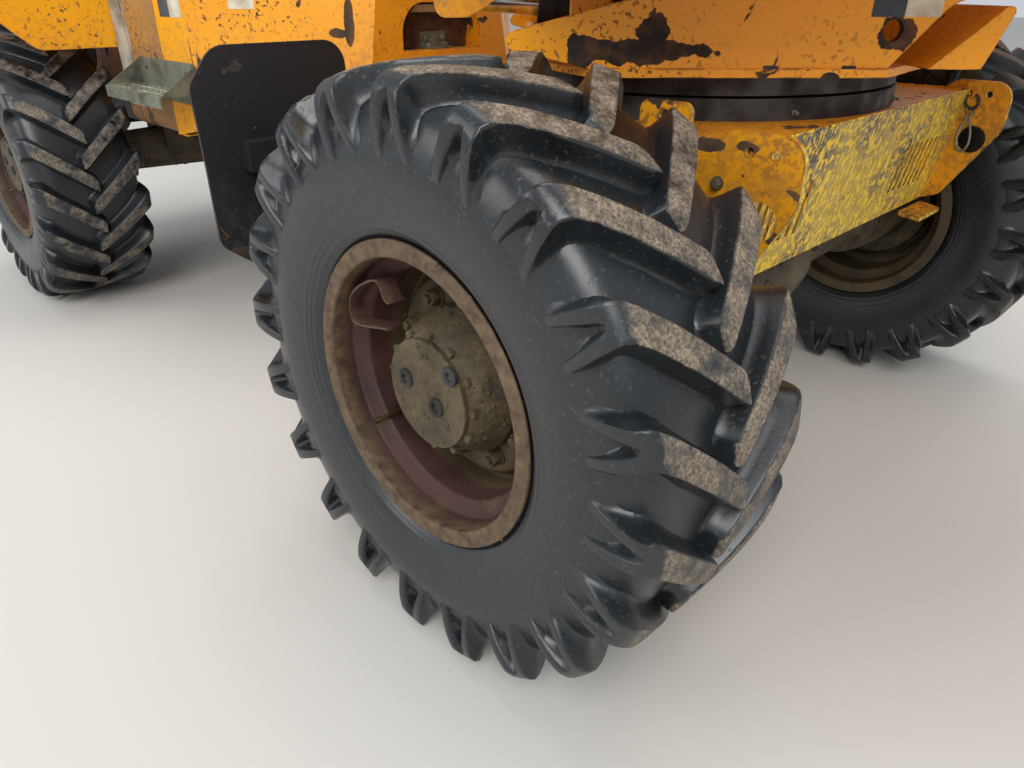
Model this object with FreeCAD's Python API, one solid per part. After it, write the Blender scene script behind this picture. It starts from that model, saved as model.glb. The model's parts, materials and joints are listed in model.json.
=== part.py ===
"""Articulated site dumper with a slewing skip, parked with the skip turned 45 degrees to its left.

Millimetres. X points forward, Y to the machine's left, Z up. Everything is drawn with the ground at
Z = 0 and the front axle at X = 0, and at the end all pieces move together so that the origin is on the
ground under the middle of the machine's box. Pieces of the slewing part are drawn straight ahead about
the slew axis and then turned.
"""
import FreeCAD
import Part
import math
import os

# Wheels and running gear
track = 1806.0
wheel_base = 2650.0
tyre_radius = 540.0
tyre_width = 386.0
tread_width = 400.0
tread_depth = 38.0
lug_pairs = 20
lug_first = 159.4
lug_sweep = 17.0
lug_width = 46.0
lug_past_middle = 15.0
lug_foot_radius = 424.0
lug_foot_spread = 42.0
lug_root = 12.0
shoulder_round = 26.0
bead_seat_radius = 254.0
rim_flange_radius = 281.0
rim_width = 340.0
rim_wall = 8.0
disc_offset = 40.0
disc_bore = 140.0
disc_seat = 34.0
hub_cap_radius = 102.0
hub_cap_offset = 140.0
spindle_radius = 60.0
axle_tube_radius = 82.0
diff_radius = 165.0

# Front chassis
chassis_top = 935.0
chassis_bottom = 650.0
chassis_clear = 143.0
chassis_rear = -640.0
front_plate_top = 288.0
front_plate_bottom = 236.0
plate = 12.0
lug_reach = 388.0
lug_top = 960.0
lug_hole_radius = 34.0
lug_hole_x = 322.0
lug_hole_z = 816.0
louvre_count = 7
louvre_pitch = 33.0
louvre_width = 14.0
louvre_height = 115.0
louvre_middle = 350.0
small_hole_radius = 8.0
guard_x = -622.0
guard_inner = 165.0
guard_outer = 195.0
guard_low = 610.0
guard_high = 1070.0
guard_fold = 840.0
guard_lean = 14.0
guard_arm_z = 860.0
guard_arm = 60.0

# Centre joint: vertical steering pin and lengthwise oscillation shaft
pivot_x = -1300.0
pivot_z = 710.0
ear_gap = 230.0
ear_thickness = 30.0
ear_radius = 95.0
steer_pin_radius = 35.0
neck_half = 118.0
shaft_radius = 60.0
shaft_reach = 330.0
housing_radius = 108.0
housing_length = 165.0

# Slew ring and swivel frame, drawn about the slew axis
slew_x = -200.0
slew_angle = 45.0
ring_radius = 470.0
ring_bore = 372.0
ring_height = 85.0
base_plate = 15.0
cheek_half = 508.0
cheek_plate = 18.0
tip_x = 550.0
tip_z = 1250.0
tip_boss_radius = 58.0
tip_pin_radius = 30.0
lock_hole_radius = 19.0

# Skip
skip_floor = 1200.0
skip_wall = 6.0
skip_rim = 1800.0
skip_rear_floor = -450.0
skip_rear_top = -715.0
skip_chute_start = 280.0
skip_spout = 1240.0
skip_half = 895.0
skip_rear_half = 560.0
skip_spout_half = 740.0
skip_floor_inset = 115.0
skip_band = 60.0
skip_lip_drop = 70.0
skip_bead = 14.0
skip_bead_height = 55.0
skip_rib = 20.0
skip_rib_width = 44.0
skip_ribs = (-100.0, 330.0, 760.0)
skip_bearer_y = 200.0
skip_bearer_width = 40.0
skip_bearer_height = 40.0
skip_lug_root = 25.0

# Rams
tip_ram_base_x = 250.0
tip_ram_base_z = 1092.0
tip_ram_eye_x = -600.0
tip_ram_eye_z = 1148.0
tip_barrel_radius = 42.0
tip_rod_radius = 25.0
tip_barrel_length = 640.0
tip_rod_start = 90.0
steer_ram_base_x = 620.0
steer_ram_base_y = -230.0
steer_ram_eye_x = -80.0
steer_ram_eye_y = -200.0
steer_barrel_radius = 36.0
steer_rod_radius = 18.0
steer_barrel_length = 510.0
steer_rod_start = 215.0
eye_radius = 38.0
eye_width = 44.0
eye_pin_radius = 18.0
ram_lug_plate = 15.0

# Rear body
rail_half = 470.0
rail_web = 15.0
rail_top = 800.0
rail_bottom = 640.0
rail_front = -1475.0
rear_end = -3290.0
body_clear = 13.0
body_bottom = 722.0
floor_top = 1165.0
sheet = 6.0
cowl_front = -1170.0
cowl_half_top = 255.0
cowl_half_bottom = 330.0
cowl_rear = -1560.0
cowl_bottom = 930.0
arch_half = 165.0
arch_bottom = 990.0
arch_top = 1128.0
arch_depth = 60.0
tank_front = -1780.0
tank_rear = -2176.0
rear_side_step = 90.0
guard_reach = 167.0
fender_rear = -3120.0
fender_bottom = 800.0
cover_front = -2440.0
cover_top = 1500.0
cover_lean = 70.0
cover_corner = 60.0
cover_hinge_back = 14.0
cover_hinge_rise = 10.0
cover_hinge_radius = 9.0
cover_hinge_pin = 4.0
cover_hinge_y = 330.0
knuckle_length = 45.0
cover_slots = 8
cover_slot_pitch = 48.0
cover_slot_width = 16.0
cover_slot_height = 150.0
engine_front = -2470.0
engine_top = 1250.0
engine_rear = -3130.0
engine_half = 260.0
bearer_height = 75.0
counterweight_depth = 130.0
counterweight_half = 580.0
counterweight_bottom = 560.0
counterweight_top = 860.0
jaw_reach = 90.0
jaw_plate = 22.0
jaw_low = 60.0
jaw_high = 150.0
jaw_hole_radius = 16.0
grille_thickness = 20.0
grille_slots = 13
grille_pitch = 60.0
grille_slot_width = 28.0
lamp_y = 480.0
lamp_z = 942.0
lamp_width = 120.0
lamp_height = 85.0
lamp_depth = 35.0
exhaust_x = -2620.0
exhaust_clear = 110.0
exhaust_height = 760.0
exhaust_radius = 72.0
exhaust_pipe = 30.0

# Step
step_front = -1540.0
step_rear = -2000.0
step_top = 875.0
step_reach = 130.0
step_plate = 5.0
step_back_height = 85.0
step_holes = 9
step_hole_radius = 13.0

# Driver's place
seat_front = -1950.0
seat_width = 480.0
seat_height = 265.0
seat_depth = 380.0
seat_base_depth = 440.0
cushion_height = 115.0
backrest_height = 530.0
backrest_depth = 90.0
backrest_lean = 50.0
console_front = -1352.0
console_depth = 188.0
console_height = 535.0
console_half = 250.0
column_radius = 32.0
column_rise = 172.0
column_lean = 106.0
steering_rim_radius = 185.0
steering_rim_tube = 14.0
lever_radius = 7.0
lever_length = 122.0
lever_knob = 17.0
pedal_x = -1600.0
pedal_length = 80.0
pedal_width = 70.0
pedal_height = 60.0

# Roll-over frame
rops_x = -2385.0
rops_half = 550.0
rops_tube = 80.0
rops_hinge_z = 1960.0
rops_top = 2960.0
rops_pin_radius = 14.0

# Clearances
seat_gap = 0.3
pin_gap = 0.05
run_gap = 5.0
race_gap = 0.3

# The frames and the body stand inside the tyres
tyre_inside = track / 2 - tread_width / 2
chassis_half = tyre_inside - chassis_clear
body_half = tyre_inside - body_clear
rear_side_half = body_half - rear_side_step
fender_half = track / 2 + guard_reach

# Heights and places that follow
seat_top = floor_top + seat_height
cover_hinge_x = rear_end - cover_hinge_back
cover_hinge_z = floor_top + cover_hinge_rise
column_foot = FreeCAD.Vector(console_front - 0.68 * console_depth, 0, floor_top + 0.888 * console_height)
column_head = column_foot + FreeCAD.Vector(-column_lean, 0, column_rise)


def vec(x, y, z):
    return FreeCAD.Vector(x, y, z)


def corner_wire(points, place):
    """Closed wire through (u, v, corner radius) points, set in space by place(u, v)."""
    flat = [vec(u, v, 0) for u, v, _ in points]
    turns = []
    for i, (here, (_, _, radius)) in enumerate(zip(flat, points)):
        back = (flat[i - 1] - here).normalize()
        ahead = (flat[(i + 1) % len(flat)] - here).normalize()
        if radius <= 0:
            turns.append((here, None, here))
            continue
        half = back.getAngle(ahead) / 2
        cut = radius / math.tan(half)
        middle = (back + ahead).normalize() * (radius / math.sin(half) - radius)
        turns.append((here + back * cut, here + middle, here + ahead * cut))
    edges = []
    for i, (start, middle, end) in enumerate(turns):
        if middle is not None:
            arc = Part.Arc(place(start.x, start.y), place(middle.x, middle.y), place(end.x, end.y))
            edges.append(arc.toShape())
        following = turns[(i + 1) % len(turns)][0]
        if end.distanceToPoint(following) > 1e-6:
            edges.append(Part.LineSegment(place(end.x, end.y), place(following.x, following.y)).toShape())
    return Part.Wire(edges)


def sharp(points):
    return [(u, v, 0.0) for u, v in points]


def side_prism(points, y0, y1):
    """Outline in X and Z, pushed from y0 to y1."""
    wire = corner_wire(points, lambda u, v: vec(u, y0, v))
    return Part.Face(wire).extrude(vec(0, y1 - y0, 0))


def side_sheet(points, y0, y1):
    """Outline in X and Z, pushed between two places in Y given in either order."""
    return side_prism(points, min(y0, y1), max(y0, y1))


def plan_prism(points, z0, z1):
    """Outline in X and Y, pushed from z0 to z1."""
    wire = corner_wire(points, lambda u, v: vec(u, v, z0))
    return Part.Face(wire).extrude(vec(0, 0, z1 - z0))


def front_prism(points, x0, x1):
    """Outline in Y and Z, pushed from x0 to x1."""
    wire = corner_wire(points, lambda u, v: vec(x0, u, v))
    return Part.Face(wire).extrude(vec(x1 - x0, 0, 0))


def block(x0, x1, y0, y1, z0, z1):
    return Part.makeBox(x1 - x0, y1 - y0, z1 - z0, vec(x0, y0, z0))


def bar(radius, start, end):
    return Part.makeCylinder(radius, (end - start).Length, start, end - start)


def turned(points, centre, axis, side):
    """Solid turned about an axis through centre; points are (along, radius, corner radius)."""
    wire = corner_wire(points, lambda u, v: centre + axis * u + side * v)
    return Part.Face(wire).revolve(centre, axis, 360)


def fuse(shapes):
    whole = shapes[0].fuse(shapes[1:]) if len(shapes) > 1 else shapes[0]
    return whole.removeSplitter()


def slewed(shape):
    """Moves a piece drawn about the slew axis to its place and turns it as parked."""
    turned_piece = shape.copy()
    turned_piece.translate(vec(slew_x, 0, 0))
    turned_piece.rotate(vec(slew_x, 0, 0), vec(0, 0, 1), slew_angle)
    return turned_piece


nodes = {}


def tyre_carcass(centre):
    """Hollow body of a tyre on its rim, turned about the axle line through centre."""
    half = tyre_width / 2
    bead = rim_width / 2 - rim_wall - seat_gap
    base = tyre_radius - tread_depth
    outside = [
        (-bead, bead_seat_radius + 4),
        (-bead, rim_flange_radius + 4),
        (-half + 8, bead_seat_radius + 62),
        (-half, tyre_radius - 145),
        (-half + 34, base - 24),
        (-half + 100, base),
    ]
    inside = [
        (half - 50, base - 38),
        (half - 28, tyre_radius - 150),
        (bead - 26, bead_seat_radius + 30),
        (bead - 30, bead_seat_radius + 4),
    ]
    ring = outside + [(-u, v) for u, v in reversed(outside)]
    ring += list(reversed(inside)) + [(-u, v) for u, v in inside]
    return turned(sharp(ring), centre, vec(0, 1, 0), vec(0, 0, 1))


def tread_lug(side):
    """One lug at the top of a tyre about the origin, from its foot on that side to its inner tip."""
    half = tread_width / 2
    crown = half - shoulder_round
    ahead = math.radians(lug_sweep) * tyre_radius / 2
    across = lug_width / 2 * math.hypot(2 * ahead, crown + lug_past_middle) / (crown + lug_past_middle)
    plan = plan_prism(sharp([
        (-ahead - lug_foot_spread, side * 2 * half),
        (-ahead - across, side * crown),
        (ahead - across, -side * lug_past_middle),
        (ahead + across, -side * lug_past_middle),
        (-ahead + across, side * crown),
        (-ahead + lug_foot_spread, side * 2 * half),
    ]), lug_foot_radius, tyre_radius)
    roof_x = tyre_radius * math.sin(math.radians(lug_sweep))
    roof_z = tyre_radius * math.cos(math.radians(lug_sweep))
    roof = side_prism(sharp([
        (-roof_x, roof_z), (0, tyre_radius), (roof_x, roof_z), (roof_x, 0), (-roof_x, 0),
    ]), -2 * half, 2 * half)
    floor = tyre_radius - tread_depth - lug_root
    shoulder = front_prism(sharp([
        (-side * 2 * half, tyre_radius),
        (side * crown, tyre_radius),
        (side * half, tyre_radius - shoulder_round),
        (side * (tyre_width / 2 - 5), lug_foot_radius),
        (side * (tyre_width / 2 - 30), lug_foot_radius),
        (side * (crown - 40), floor),
        (-side * 2 * half, floor),
    ]), -2 * roof_x, 2 * roof_x)
    return plan.common(roof).common(shoulder)


def tyre():
    """Traction tyre about the origin, with chevron lugs whose tips lead forward at the top."""
    pitch = 360.0 / lug_pairs
    lugs = []
    for side, offset in ((-1, 0.0), (1, pitch / 2)):
        pattern = tread_lug(side)
        for i in range(lug_pairs):
            copy = pattern.copy()
            copy.rotate(vec(0, 0, 0), vec(0, 1, 0), 90 + lug_sweep / 2 - lug_first - offset + i * pitch)
            lugs.append(copy)
    return tyre_carcass(vec(0, 0, 0)).fuse(lugs)


def rim(x, side):
    """Deep-well rim with a dished disc; distances run outwards from the wheel's middle plane."""
    edge = rim_width / 2
    seat = bead_seat_radius + 4 - seat_gap
    well = bead_seat_radius - 28
    band = [
        (-edge, rim_flange_radius, 3),
        (-edge + rim_wall, rim_flange_radius, 3),
        (-edge + rim_wall, seat, 0),
        (-edge + 52, seat - 3, 8),
        (-edge + 68, well, 8),
        (edge - 68, well, 8),
        (edge - 52, seat - 3, 8),
        (edge - rim_wall, seat, 0),
        (edge - rim_wall, rim_flange_radius, 3),
        (edge, rim_flange_radius, 3),
        (edge, seat - rim_wall, 5),
        (edge - 48, seat - 3 - rim_wall, 8),
        (edge - 64, well - rim_wall, 8),
        (-edge + 64, well - rim_wall, 8),
        (-edge + 48, seat - 3 - rim_wall, 8),
        (-edge, seat - rim_wall, 5),
    ]
    disc = [
        (disc_offset, disc_bore, 0),
        (disc_offset, disc_bore + 50, 12),
        (disc_offset - 28, well - rim_wall - 12, 12),
        (disc_offset - 28, well - rim_wall + 1, 0),
        (disc_offset - 42, well - rim_wall + 1, 0),
        (disc_offset - 42, well - rim_wall - 16, 12),
        (disc_offset - 14, disc_bore + 46, 12),
        (disc_offset - 14, disc_bore, 0),
    ]
    centre = vec(x, side * track / 2, tyre_radius)
    return fuse([turned(p, centre, vec(0, side, 0), vec(0, 0, 1)) for p in (band, disc)])


axle_flange = track / 2 - 262.0


def hub(x, side):
    """Planetary hub that turns on the axle's spindle and carries the disc."""
    inner = axle_flange + run_gap - track / 2
    depth = 120.0
    profile = [
        (inner, spindle_radius + pin_gap, 0),
        (inner, 118, 4),
        (disc_offset - 60, 128, 6),
        (disc_offset - 60, disc_bore + disc_seat, 3),
        (disc_offset - 14 - seat_gap, disc_bore + disc_seat, 0),
        (disc_offset - 14 - seat_gap, disc_bore - seat_gap, 0),
        (disc_offset + 22, disc_bore - seat_gap, 8),
        (hub_cap_offset - 30, hub_cap_radius + 14, 6),
        (hub_cap_offset - 12, hub_cap_radius, 0),
        (hub_cap_offset, hub_cap_radius, 3),
        (hub_cap_offset, 0, 0),
        (inner + depth, 0, 0),
        (inner + depth, spindle_radius + pin_gap, 0),
    ]
    return turned(profile, vec(x, side * track / 2, tyre_radius), vec(0, side, 0), vec(0, 0, 1))


def axle(x, pinion, pad_top):
    """Rigid axle: differential, tubes, end flanges and spindles, with pads under the chassis."""
    end = axle_flange
    half = [
        (0, diff_radius, 0),
        (diff_radius * 0.8, diff_radius - 25, 40),
        (diff_radius * 1.4, axle_tube_radius + 12, 20),
        (end - 60, axle_tube_radius, 10),
        (end - 50, 112, 4),
        (end, 112, 4),
        (end, spindle_radius, 0),
        (end + run_gap + 112, spindle_radius, 2),
        (end + run_gap + 112, 0, 0),
        (0, 0, 0),
    ]
    centre = vec(x, 0, tyre_radius)
    arms = [turned(half, centre, vec(0, s, 0), vec(0, 0, 1)) for s in (1, -1)]
    nose = bar(70, centre, vec(x + pinion, 0, tyre_radius))
    flange = bar(92, vec(x + pinion * 0.82, 0, tyre_radius), vec(x + pinion * 0.9, 0, tyre_radius))
    pads = []
    for s in (1, -1):
        y = s * (end - 250)
        pads.append(block(x - 95, x + 95, y - 60, y + 60, tyre_radius, pad_top - seat_gap))
    return fuse(arms + [nose, flange] + pads)


def chassis_side(side):
    """Side plate of the front chassis, which runs forward as a lifting lug."""
    outline = [
        (chassis_rear, chassis_top, 0),
        (front_plate_top - 70, chassis_top, 15),
        (front_plate_top - 30, lug_top, 15),
        (lug_reach, lug_top, 45),
        (lug_reach, lug_hole_z + 30, 60),
        (front_plate_bottom + 42, chassis_bottom + 15, 25),
        (front_plate_bottom, chassis_bottom, 10),
        (chassis_rear, chassis_bottom, 20),
    ]
    outer = side * chassis_half
    skin = side_prism(outline, outer - side * plate, outer)
    drilled = [(lug_hole_x, lug_hole_z, lug_hole_radius)]
    drilled += [(lug_hole_x + dx, lug_top - 32, small_hole_radius) for dx in (-34, 14)]
    holes = [bar(radius, vec(x, outer - side * 3 * plate, z), vec(x, outer + side * plate, z))
             for x, z, radius in drilled]
    return skin.cut(holes)


def front_plate():
    """Leaning front plate with a group of upright slots near each end."""
    inner = chassis_half - plate
    outline = sharp([
        (front_plate_top, chassis_top),
        (front_plate_top - plate, chassis_top),
        (front_plate_bottom - plate, chassis_bottom),
        (front_plate_bottom, chassis_bottom),
    ])
    skin = side_prism(outline, -inner, inner)
    middle = chassis_top - 0.57 * (chassis_top - chassis_bottom)
    slots = []
    for side in (1, -1):
        for i in range(louvre_count):
            y = side * louvre_middle + (i - (louvre_count - 1) / 2) * louvre_pitch
            slots.append(block(front_plate_bottom - 3 * plate, front_plate_top + plate,
                               y - louvre_width / 2, y + louvre_width / 2,
                               middle - louvre_height / 2, middle + louvre_height / 2))
    return skin.cut(slots)


ear_top = pivot_z + ear_gap / 2 + ear_thickness
ear_bottom = pivot_z - ear_gap / 2 - ear_thickness


def ear(z0, z1):
    """Round-ended ear of the front chassis with the steering pin's bore."""
    root = pivot_x + 230
    arm = plan_prism(sharp([(root, neck_half), (pivot_x, ear_radius), (pivot_x, -ear_radius),
                            (root, -neck_half)]), z0, z1)
    eye = bar(ear_radius, vec(pivot_x, 0, z0), vec(pivot_x, 0, z1))
    bore = bar(steer_pin_radius + pin_gap, vec(pivot_x, 0, z0 - 1), vec(pivot_x, 0, z1 + 1))
    return arm.fuse(eye).cut(bore)


def ram_lugs(x, y, z, reach):
    """Pair of lug plates above and below an upright ram pin, reaching forward to a wall."""
    inner = eye_width / 2 + run_gap
    outer = inner + ram_lug_plate
    lugs = []
    for z0, z1 in ((z + inner, z + outer), (z - outer, z - inner)):
        arm = block(min(x, x + reach), max(x, x + reach), y - eye_radius, y + eye_radius, z0, z1)
        lugs.append(arm.fuse(bar(eye_radius, vec(x, y, z0), vec(x, y, z1))))
    return lugs


def front_frame():
    inner = chassis_half - plate
    top = block(chassis_rear, front_plate_top - plate, -inner, inner, chassis_top - plate, chassis_top)
    bottom = block(chassis_rear, front_plate_bottom - plate, -inner, inner,
                   chassis_bottom, chassis_bottom + plate)
    hatch = diff_radius * 0.8
    bottom = bottom.cut(block(-hatch, hatch, -1.4 * diff_radius, 1.4 * diff_radius,
                              chassis_bottom - 1, chassis_bottom + plate + 1))
    back = block(chassis_rear, chassis_rear + plate, -inner, inner, chassis_bottom, chassis_top)
    neck_front = chassis_rear + 180
    neck = side_prism([
        (neck_front, ear_top, 0),
        (pivot_x + 190, ear_top, 0),
        (pivot_x + 190, ear_bottom, 0),
        (chassis_rear - 90, ear_bottom, 40),
        (chassis_rear + 20, chassis_bottom + 2, 20),
        (neck_front, chassis_bottom + 2, 0),
    ], -neck_half, neck_half)
    gussets = [plan_prism(sharp([(chassis_rear + 1, s * 400), (chassis_rear + 1, s * 60),
                                 (pivot_x + 260, s * 60), (pivot_x + 260, s * neck_half)]),
                          ear_top - plate, ear_top) for s in (1, -1)]
    ears = [ear(pivot_z + ear_gap / 2, ear_top), ear(ear_bottom, pivot_z - ear_gap / 2)]
    base_x = pivot_x + steer_ram_base_x
    lugs = ram_lugs(base_x, steer_ram_base_y, pivot_z, chassis_rear + 1 - base_x)
    pin = bar(eye_pin_radius, vec(base_x, steer_ram_base_y, pivot_z - eye_width / 2 - run_gap - 1),
              vec(base_x, steer_ram_base_y, pivot_z + eye_width / 2 + run_gap + 1))
    rear_tab = chassis_half - plate
    tab = side_prism([(50, chassis_top - 1, 0), (50, chassis_top + 56, 20), (160, chassis_top + 56, 20),
                      (160, chassis_top - 1, 0)], -rear_tab, -rear_tab + plate)
    tab_hole = bar(14, vec(105, -rear_tab - 1, chassis_top + 28), vec(105, -rear_tab + plate + 1,
                                                                     chassis_top + 28))
    return fuse([chassis_side(1), chassis_side(-1), front_plate(), top, bottom, back, neck]
                + gussets + ears + lugs + [pin, tab.cut(tab_hole)])


def front_mudguard(side):
    """Guard behind the tyre, folded across its middle and hung on an arm from the chassis side."""
    inner = track / 2 - guard_inner
    outer = track / 2 + guard_outer
    outline = [
        (side * inner, guard_low + 30, 40),
        (side * inner, guard_high, 50),
        (side * (outer - 60), guard_high, 60),
        (side * outer, guard_high - 70, 40),
        (side * outer, guard_low + 70, 40),
        (side * (outer - 90), guard_low, 40),
        (side * (inner + 60), guard_low, 30),
    ]
    folded = side_prism(sharp([
        (guard_x, guard_low - 1),
        (guard_x + sheet, guard_low - 1),
        (guard_x + sheet, guard_fold),
        (guard_x + sheet - guard_lean, guard_high + 1),
        (guard_x - guard_lean, guard_high + 1),
        (guard_x, guard_fold),
    ]), min(side * inner, side * outer), max(side * inner, side * outer))
    guard = folded.common(front_prism(outline, guard_x - 2 * guard_lean, guard_x + 2 * sheet))
    wall = side * (chassis_half + seat_gap)
    end = side * (outer - 80)
    arm = block(guard_x + 1, guard_x + 45, min(wall, end), max(wall, end),
                guard_arm_z - guard_arm / 2, guard_arm_z + guard_arm / 2)
    return fuse([guard, arm])


def centre_knuckle():
    """Casting on the steering pin, with the oscillation shaft behind and the ram's arm at its side."""
    barrel_half = ear_gap / 2 - run_gap
    barrel = bar(80, vec(pivot_x, 0, pivot_z - barrel_half), vec(pivot_x, 0, pivot_z + barrel_half))
    pin = bar(steer_pin_radius, vec(pivot_x, 0, ear_bottom - 12), vec(pivot_x, 0, ear_top + 12))
    heads = [bar(steer_pin_radius + 18, vec(pivot_x, 0, z), vec(pivot_x, 0, z + 14))
             for z in (ear_top + run_gap, ear_bottom - run_gap - 14)]
    shaft = bar(shaft_radius, vec(pivot_x, 0, pivot_z), vec(pivot_x - shaft_reach, 0, pivot_z))
    collar_x = pivot_x - shaft_reach
    collar = bar(shaft_radius + 22, vec(collar_x, 0, pivot_z),
                 vec(collar_x + shaft_reach - 125 - housing_length - 2 * run_gap, 0, pivot_z))
    flange = turned([(0, shaft_radius - 5, 0), (0, 100, 6), (28, 100, 6), (75, 72, 10), (75, 60, 0)],
                    vec(pivot_x - 125, 0, pivot_z), vec(1, 0, 0), vec(0, 0, 1))
    eye_x = pivot_x + steer_ram_eye_x
    inner = eye_width / 2 + run_gap
    outer = inner + ram_lug_plate
    clear = eye_radius + 34
    arms = []
    for z0, z1 in ((pivot_z + inner, pivot_z + outer), (pivot_z - outer, pivot_z - inner)):
        arms.append(plan_prism([
            (pivot_x + 40, -40, 0),
            (eye_x + eye_radius, steer_ram_eye_y - eye_radius, 25),
            (eye_x - eye_radius, steer_ram_eye_y - eye_radius, 25),
            (pivot_x - 78, -30, 0),
        ], z0, z1))
    web = block(pivot_x - 105, pivot_x - 10, steer_ram_eye_y + clear, -40, pivot_z - outer,
                pivot_z + outer)
    return fuse([barrel, pin, shaft, collar, flange, web] + heads + arms)


def ram(base, tip, barrel_length, rod_start, radii, across):
    """Barrel and rod of one ram as parked; across points along its pins, rod_start is the rod's end."""
    barrel_radius, rod_radius = radii
    along = (tip - base).normalize()
    half = across * (eye_width / 2)
    neck_end = base + along * (eye_radius + 30)
    barrel_end = base + along * barrel_length
    barrel = fuse([
        bar(eye_radius, base - half, base + half),
        bar(eye_width / 2 - 2, base, neck_end),
        bar(barrel_radius, neck_end, barrel_end),
        bar(barrel_radius + 4, barrel_end - along * 40, barrel_end),
    ])
    rod_end = base + along * rod_start
    barrel = barrel.cut([
        bar(eye_pin_radius + pin_gap, base - half * 1.5, base + half * 1.5),
        bar(rod_radius + pin_gap, base + along * (eye_radius + 36), barrel_end + along),
    ])
    rod = fuse([bar(rod_radius, rod_end, tip - along * (eye_radius - 6)),
                bar(eye_radius, tip - half, tip + half)])
    return barrel, rod


def rear_frame():
    """Two channel rails with cross members, the oscillation bearing and outriggers for the body."""
    parts = []
    for s in (1, -1):
        web = s * rail_half
        parts.append(block(rear_end, rail_front, min(web, web - s * rail_web),
                           max(web, web - s * rail_web), rail_bottom, rail_top))
        for z in (rail_bottom, rail_top - 12):
            parts.append(block(rear_end, rail_front, min(web, web - s * 75), max(web, web - s * 75),
                               z, z + 12))
        for x in (-1700, -2120, rops_x - 60, fender_rear):
            parts.append(block(x, x + 120, min(web - s * 2, s * (rear_side_half - seat_gap)),
                               max(web - s * 2, s * (rear_side_half - seat_gap)),
                               rail_top - 60, rail_top - 8))
    inner = rail_half - 2
    bearing_front = pivot_x - 125 - run_gap
    bearing_rear = bearing_front - housing_length
    for x0, x1 in ((rail_front - 20, rail_front), (bearing_rear, bearing_rear + 20),
                   (rear_end, rear_end + 20)):
        parts.append(block(x0, x1, -inner, inner, rail_bottom, rail_top))
    for x in (engine_front - 30, engine_rear):
        parts.append(block(x, x + 70, -inner, inner, rail_bottom, rail_bottom + bearer_height))
    axis_start = vec(bearing_rear, 0, pivot_z)
    axis_end = vec(bearing_front, 0, pivot_z)
    parts.append(bar(housing_radius, axis_start, axis_end))
    bore = bar(shaft_radius + pin_gap, axis_start - vec(40, 0, 0), axis_end + vec(40, 0, 0))
    return fuse(parts).cut(bore)


def swivel_cheek(side):
    """Upright cheek of the swivel frame, with the tip pin's boss at its raised front."""
    low = chassis_top + ring_height + base_plate - 1
    outline = [
        (-470, low + 38, 14),
        (-452, low + 64, 18),
        (-240, low + 116, 60),
        (120, skip_floor - 14, 60),
        (300, skip_floor - 10, 60),
        (tip_x - 45, tip_z + tip_boss_radius - 8, 20),
        (tip_x + tip_boss_radius, tip_z + 20, 30),
        (tip_x + 30, tip_z - tip_boss_radius, 40),
        (350, low + 112, 60),
        (252, low, 12),
        (-300, low, 40),
    ]
    outer = side * cheek_half
    skin = side_prism(outline, outer - side * cheek_plate, outer)
    boss = bar(tip_boss_radius, vec(tip_x, outer - side * 40, tip_z), vec(tip_x, outer, tip_z))
    hole = bar(lock_hole_radius, vec(250, outer - side * 40, low + 66), vec(250, outer + side, low + 66))
    return skin.fuse(boss).cut(hole)


def swivel_frame():
    base_z = chassis_top + ring_height
    half = cheek_half + 8
    base = plan_prism([(-455, -200, 40), (-300, -half, 30), (255, -half, 30), (430, -300, 40),
                       (430, 300, 40), (255, half, 30), (-300, half, 30), (-455, 200, 40)],
                      base_z, base_z + base_plate)
    well = bar(150, vec(0, 0, base_z - 1), vec(0, 0, base_z + base_plate + 1))
    pins = []
    for s in (1, -1):
        pins.append(bar(tip_pin_radius, vec(tip_x, s * (cheek_half - 1), tip_z),
                        vec(tip_x, s * (cheek_half - 40 - 70), tip_z)))
    rear_tie = bar(18, vec(-400, -cheek_half + 2, base_z + 44), vec(-400, cheek_half - 2, base_z + 44))
    front_tie = side_prism([(330, base_z + base_plate - 1, 0), (430, base_z + base_plate - 1, 0),
                            (470, base_z + 120, 10), (450, base_z + 120, 10)],
                           -cheek_half + 2, cheek_half - 2)
    stops = [block(-330, -250, s * 330 - 40, s * 330 + 40, base_z + base_plate - 1,
                   skip_floor - seat_gap) for s in (1, -1)]
    base_eye = vec(tip_ram_base_x, 0, tip_ram_base_z)
    inner = eye_width / 2 + run_gap
    lugs = []
    for s in (1, -1):
        y0 = s * inner
        y1 = s * (inner + ram_lug_plate)
        lugs.append(side_prism([(tip_ram_base_x - 60, base_z + 1, 0), (tip_ram_base_x - 34, tip_ram_base_z
                                                                      + 38, 25),
                                (tip_ram_base_x + 38, tip_ram_base_z + 38, 25),
                                (tip_ram_base_x + 60, base_z + 1, 0)], y0, y1))
    reach = vec(0, inner + 1, 0)
    eye_pin = bar(eye_pin_radius, base_eye - reach, base_eye + reach)
    return fuse([base.cut(well), swivel_cheek(1), swivel_cheek(-1), rear_tie, front_tie, eye_pin]
                + pins + stops + lugs)


def slew_ring_lower():
    top = chassis_top + ring_height
    profile = sharp([
        (ring_bore, chassis_top + seat_gap),
        (ring_radius, chassis_top + seat_gap),
        (ring_radius, chassis_top + 42),
        (ring_radius - 46, chassis_top + 42),
        (ring_radius - 46, top - 8),
        (ring_bore, top - 8),
    ])
    return ring_of(profile)


def ring_of(profile):
    wire = corner_wire(profile, lambda u, v: vec(slew_x + u, 0, v))
    return Part.Face(wire).revolve(vec(slew_x, 0, 0), vec(0, 0, 1), 360)


def slew_ring_upper():
    top = chassis_top + ring_height
    outer = ring_radius - 4
    return ring_of(sharp([
        (ring_radius - 46 + race_gap, chassis_top + 42 + run_gap),
        (outer, chassis_top + 42 + run_gap),
        (outer, top - seat_gap),
        (ring_radius - 46 + race_gap, top - seat_gap),
    ]))


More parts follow.
